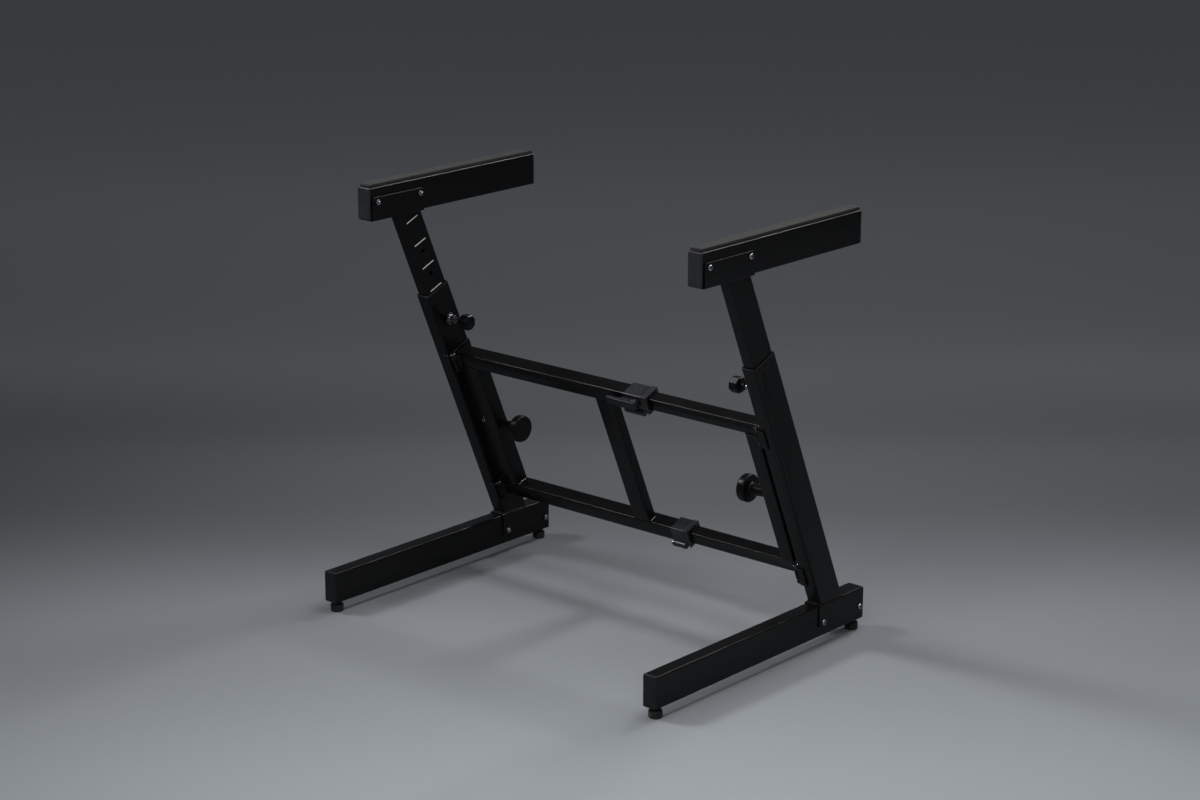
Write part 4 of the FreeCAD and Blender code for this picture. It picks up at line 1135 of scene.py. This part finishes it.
@dataclass
class Leg:
    """One leg: foot, posts, arm and what is fixed to them."""

    side: Side
    # how far the edges of tubes, plates and mouldings are eased, in millimetres
    edges_mm: ClassVar[dict[str, float]] = {
        "foot_tube": 0.7, "outer_post": 0.7, "inner_post": 0.7, "arm_tube": 0.7,
        "saddle_bracket": 0.8, "arm_bracket": 0.8, "hinge_leaves": 0.8, "hinge_pins": 0.8,
        "clamp_nut": 0.8, "foot_caps": 1.2, "arm_caps": 1.2, "guide_bush": 0.45}
    weld_mm: float = 1.7
    weld_corner_mm: float = 1.5
    level_mm: float = 0.05
    mark_count: int = 7
    mark_pitch_mm: float = 51.0
    mark_rise_mm: float = 71.0
    mark_length_mm: float = 31.0
    mark_width_mm: float = 2.2
    ink_mm: float = 0.05

    def name(self, piece: str) -> str:
        """Names this leg's node."""
        return f"{self.side.value}_{piece}"

    def build(self) -> None:
        """Dresses the leg from its foot to its arm."""
        for piece, width_mm in self.edges_mm.items():
            eased(self.name(piece), width_mm)
        for row in ("saddle_fasteners", "arm_fasteners"):
            BracketBolts(self.name(row)).build()
        for end in ("front", "rear"):
            LevellingFoot(self.name(end + "_levelling_foot")).build()
        SoftStrip(self.name("arm_pad")).build()
        Plunger(self.side).build()
        ClampKnob(self.side).build()
        self.marks()
        self.welds()

    def marks(self) -> None:
        """Prints the height marks on the inner post, one for each hole."""
        post_low, post_high = LEAN.extent(self.name("inner_post"))
        body_low, body_high = LEAN.extent(self.name("plunger_body"))
        face = post_high.x if self.side is Side.LEFT else post_low.x
        middle = (post_low.y + post_high.y) / 2
        in_use = (body_low.z + body_high.z) / 2 + self.mark_rise_mm * MM
        lowest = in_use - self.mark_pitch_mm * MM * (self.mark_count - 1) / 2
        name = self.name("height_marks")
        size_mm = Vector((2 * self.ink_mm, self.mark_length_mm, self.mark_width_mm))
        mesh = MARKS.grow(name, bpy.data.meshes.new(name), PRINT_INK, {
            "Count": self.mark_count, "Pitch": self.mark_pitch_mm * MM, "Mark Size": size_mm * MM})
        mesh.transform(LEAN.matrix(Vector((face, middle, lowest))))
        shade(mesh, CRISP_CREASE_DEG)
        settle(new_piece(name, mesh, PRINT_INK), body_of(self.name("inner_post")), PRINT_INK)

    def level_run(self, node: str, top: bool) -> Run:
        """Gives a closed run round a post's level end.

        Args:
            node: Name of the post.
            top: Whether it is the upper end.

        Returns:
            Points of the run.
        """
        points = [vertex.co for vertex in frame["nodes"][node].data.vertices]
        level = (max if top else min)(point.z for point in points)
        rim = [point for point in points if abs(point.z - level) < self.level_mm * MM]
        x0, x1 = min(p.x for p in rim), max(p.x for p in rim)
        y0, y1 = min(p.y for p in rim), max(p.y for p in rim)
        inset = self.weld_corner_mm * MM
        corners = ((x0 + inset, y0), (x1 - inset, y0), (x1, y0 + inset), (x1, y1 - inset),
                   (x1 - inset, y1), (x0 + inset, y1), (x0, y1 - inset), (x0, y0 + inset),
                   (x0 + inset, y0))
        return [Vector((x, y, level)) for x, y in corners]

    def welds(self) -> None:
        """Welds the posts to their brackets."""
        ends = (("saddle_weld", "outer_post", False), ("arm_weld", "inner_post", True))
        for seed, (weld, end, top) in enumerate(ends, start=1):
            post = self.name(end)
            lay_welds(self.name(weld), body_of(post), [self.level_run(post, top)], self.weld_mm,
                      float(seed))


@dataclass
class CamLever:
    """Moulded lever that pinches the upper collar: a block on its pin and a slim arm."""

    node: str = "cam_lever"
    edge_mm: float = 1.4
    edge_share: float = 0.45
    edge_steps: int = 4
    crease_deg: float = 45.0
    # distance from the pivot, middle ahead of it, thickness: all in millimetres
    stations: tuple[tuple[float, float, float], ...] = (
        (-6.6, 0.0, 2.4), (-6.2, 0.0, 5.0), (-5.2, 0.0, 8.4), (-3.4, 0.0, 11.5), (0.0, 0.0, 13.4),
        (30.8, 0.0, 13.4), (32.2, 0.6, 12.2), (34.6, 2.2, 9.0), (36.4, 2.6, 8.0), (56.0, 1.6, 6.9),
        (61.0, 1.6, 5.9), (63.8, 1.9, 4.4), (64.8, 2.2, 2.6))

    def build(self) -> None:
        """Lofts the lever and stands for the CAD lever."""
        low, high = LEAN.extent(self.node)
        pin_low, pin_high = LEAN.extent("cam_lever_pin")
        pivot = Vector(((pin_low.x + pin_high.x) / 2, (pin_low.y + pin_high.y) / 2,
                        (low.z + high.z) / 2))
        half = (high.z - low.z) / 2
        rings = [self.ring(pivot, half, along * MM, ahead * MM, thick * MM)
                 for along, ahead, thick in self.stations]
        mesh = skinned(self.node + "_moulded", rings, Matrix.Identity(4), self.crease_deg)
        stand_in(self.node + "_moulded", mesh, LEVER_ACETAL, self.node)

    def ring(self, pivot: Vector, half: float, along: float, ahead: float, thick: float) -> Ring:
        """Gives the lever's rounded section at one place.

        Args:
            pivot: Middle of the lever on its pin, leaning.
            half: Half of its height.
            along: Distance from the pivot.
            ahead: How far its middle is ahead there.
            thick: Its thickness there.

        Returns:
            Points of the section.
        """
        edge = min(self.edge_mm * MM, thick * self.edge_share)
        section = []
        for y_sign, z_sign, start in ((1, 1, 0), (-1, 1, 1), (-1, -1, 2), (1, -1, 3)):
            for i in range(self.edge_steps + 1):
                turn = math.pi / 2 * (start + i / self.edge_steps)
                section.append((y_sign * (thick / 2 - edge) + edge * math.cos(turn),
                                z_sign * (half - edge) + edge * math.sin(turn)))
        return [LEAN.world(pivot.x - along, pivot.y - ahead + y, pivot.z + z) for y, z in section]


@dataclass
class CentreFrame:
    """Bars, sliders, uprights, collars and lever between the legs."""

    # how far the edges of tubes, mouldings and fasteners are eased, in millimetres
    edges_mm: ClassVar[dict[str, float]] = {
        "left_upper_bar": 0.7, "left_lower_bar": 0.7, "right_upper_slider": 0.7,
        "right_lower_slider": 0.7, "left_side_member": 0.7, "right_side_member": 0.7,
        "centre_strut": 0.7, "upper_collar": 0.9, "lower_collar": 0.9, "collar_screws": 0.8,
        "cam_lever_pin": 0.8}
    weld_mm: float = 1.7
    weld_inset_mm: float = 2.5
    first_seed: int = 3

    def build(self) -> None:
        """Dresses the frame."""
        for node, width_mm in self.edges_mm.items():
            eased(node, width_mm)
        CamLever().build()
        self.welds()

    def welds(self) -> None:
        """Welds the uprights to the bars, along the sides that meet a flat."""
        for seed, (name, uprights) in enumerate({
                "left_frame_welds": ("left_side_member", "centre_strut"),
                "right_frame_welds": ("right_side_member",)}.items(), start=self.first_seed):
            runs = [run for upright in uprights for run in self.upright_runs(upright)]
            lay_welds(name, body_of(uprights[0]), runs, self.weld_mm, float(seed), POOLED_COAT)

    def upright_runs(self, node: str) -> list[Run]:
        """Runs along both sides of an upright at each of its ends.

        Args:
            node: Name of the upright.

        Returns:
            Four straight runs.
        """
        low, high = LEAN.extent(node)
        inset = self.weld_inset_mm * MM
        return [[LEAN.world(x, low.y + inset, up), LEAN.world(x, high.y - inset, up)]
                for up in (low.z, high.z) for x in (low.x, high.x)]


@dataclass
class Stage:
    """Pale floor, soft lamps and the camera of the photograph."""

    azimuth_deg: float = 41.226
    elevation_deg: float = 16.202
    focal_mm: float = 82.99
    sensor_mm: float = 36.0
    sight: float = 100.0
    camera_at: tuple[float, float, float] = (3.2078, -3.6377, 1.8353)
    floor_half: float = 30.0
    # painted shade on the floor: pale in front, darkest just behind the stand where its shadow falls, paler again
    # far off where the lamps' light falls away
    # distance from the stand's middle away from the camera, and the floor's tone there
    floor_painted_shade: tuple[tuple[float, str], ...] = (
        (-1.0, "#a0a5aa"), (-0.1, "#808488"), (0.65, "#5f6266"), (1.15, "#6c6f73"),
        (1.9, "#94989c"), (4.0, "#b2b6ba"))
    paper_roughness: float = 0.8
    sky_colour: str = "#c9ced3"
    sky_strength: float = 0.13
    # each soft box: name, place, target, size in metres, power in watts and spread in degrees
    boxes: tuple[tuple, ...] = (
        ("overhead_box", (0.9, 0.4, 3.2), (0.5, -0.2, 0.0), 1.6, 34.0, 180.0),
        ("left_box", (-2.4, -1.4, 3.0), (0.1, -0.1, 0.6), 0.8, 7.0, 50.0),
        ("back_box", (0.2, 3.0, 3.6), (0.1, 0.0, 0.8), 0.9, 7.0, 50.0),
        ("front_box", (1.8, -3.0, 2.6), (1.1, -1.6, 0.0), 1.6, 12.0, 100.0),
        ("right_box", (3.2, 2.9, 2.6), (2.3, 2.1, 0.0), 0.8, 11.0, 60.0))

    def build(self) -> None:
        """Makes the floor, the lamps, the world and the camera."""
        self.floor()
        for box in self.boxes:
            self.soft_box(*box)
        self.world()
        self.camera()

    def floor(self) -> None:
        """Lays one large pale sheet, which is no part of the stand."""
        half = self.floor_half
        mesh = bpy.data.meshes.new("studio_floor")
        corners = [(-half, -half, 0), (half, -half, 0), (half, half, 0), (-half, half, 0)]
        mesh.from_pydata(corners, [], [(0, 1, 2, 3)])
        near_tone, far_tone = self.floor_painted_shade[0][1], self.floor_painted_shade[-1][1]
        finish = Finish("floor_with_painted_shade", None, near_tone, far_tone, self.paper_roughness,
                        patch_mm=900.0, grain_mm=8.0, grain_height_mm=0.01)
        new_piece("studio_floor", mesh, finish)
        # the floor's tone gets painted shade, darkest just behind the stand
        self.paint_floor_shade(finish.material())

    def paint_floor_shade(self, floor_painted_shade: bpy.types.Material) -> None:
        """Paints shade into the floor's tone away from the camera: pale in front, darkest just behind the stand,
        paler far off.

        Args:
            floor_painted_shade: The floor's material.
        """
        tree = floor_painted_shade.node_tree
        turn = math.radians(self.azimuth_deg)
        place = add_node(tree, "ShaderNodeTexCoord").outputs["Object"]
        away = add_node(tree, "ShaderNodeVectorMath", {
            "operation": "DOT_PRODUCT", 1: (-math.sin(turn), math.cos(turn), 0.0)},
            {0: place})
        near, far = self.floor_painted_shade[0][0], self.floor_painted_shade[-1][0]
        share = add_node(tree, "ShaderNodeMapRange", {
            "From Min": near, "From Max": far}, {"Value": away.outputs["Value"]})
        tones = add_node(tree, "ShaderNodeValToRGB", links={"Fac": share.outputs[0]})
        stops = tones.color_ramp.elements
        tones.color_ramp.interpolation = "EASE"
        for distance, _ in self.floor_painted_shade[1:-1]:
            stops.new((distance - near) / (far - near))
        for stop, (_, colour) in zip(stops, self.floor_painted_shade):
            stop.color = linear(colour)
        shader = next(node for node in tree.nodes if node.type == "BSDF_PRINCIPLED")
        tree.links.new(tones.outputs[0], shader.inputs["Base Color"])

    def soft_box(self, name: str, at: Sequence[float], target: Sequence[float], size: float,
                 power: float, spread_deg: float) -> None:
        """Hangs one square soft box that faces a target, its grid keeping the light to a cone.

        Args:
            name: Name of the lamp.
            at: Its place.
            target: What it faces.
            size: Length of its side.
            power: Its power in watts.
            spread_deg: Angle of the cone.
        """
        lamp = bpy.data.lights.new(name, "AREA")
        lamp.size = size
        lamp.energy = power
        lamp.spread = math.radians(spread_deg)
        holder = bpy.data.objects.new(name, lamp)
        holder.location = at
        holder.rotation_euler = (Vector(target) - Vector(at)).to_track_quat("-Z", "Y").to_euler()
        bpy.context.collection.objects.link(holder)

    def world(self) -> None:
        """Fills the shadows with an even pale light."""
        world = bpy.data.worlds.new("studio_air")
        world.use_nodes = True
        background = world.node_tree.nodes["Background"]
        background.inputs["Color"].default_value = linear(self.sky_colour)
        background.inputs["Strength"].default_value = self.sky_strength
        bpy.context.scene.world = world
        bpy.context.scene.view_settings.view_transform = "Standard"

    def camera(self) -> None:
        """Sets the camera where the photograph was taken."""
        lens = bpy.data.cameras.new("photograph")
        lens.lens = self.focal_mm
        lens.sensor_width = self.sensor_mm
        lens.clip_end = self.sight
        holder = bpy.data.objects.new("photograph", lens)
        holder.location = self.camera_at
        holder.rotation_euler = (math.radians(90 - self.elevation_deg), 0.0,
                                 math.radians(self.azimuth_deg))
        bpy.context.collection.objects.link(holder)
        bpy.context.scene.camera = holder


def dress_nodes() -> None:
    """Gives every CAD node its finish, for those that still show."""
    for name, node in frame["nodes"].items():
        node.data.materials.clear()
        node.data.materials.append(finish_of(name).material())


def main() -> None:
    """Dresses the stand and sets the stage."""
    logging.basicConfig(level=logging.INFO, format="%(name)s: %(message)s")
    dress_nodes()
    for side in Side:
        Leg(side).build()
    CentreFrame().build()
    Stage().build()


if __name__ == "__main__":
    main()
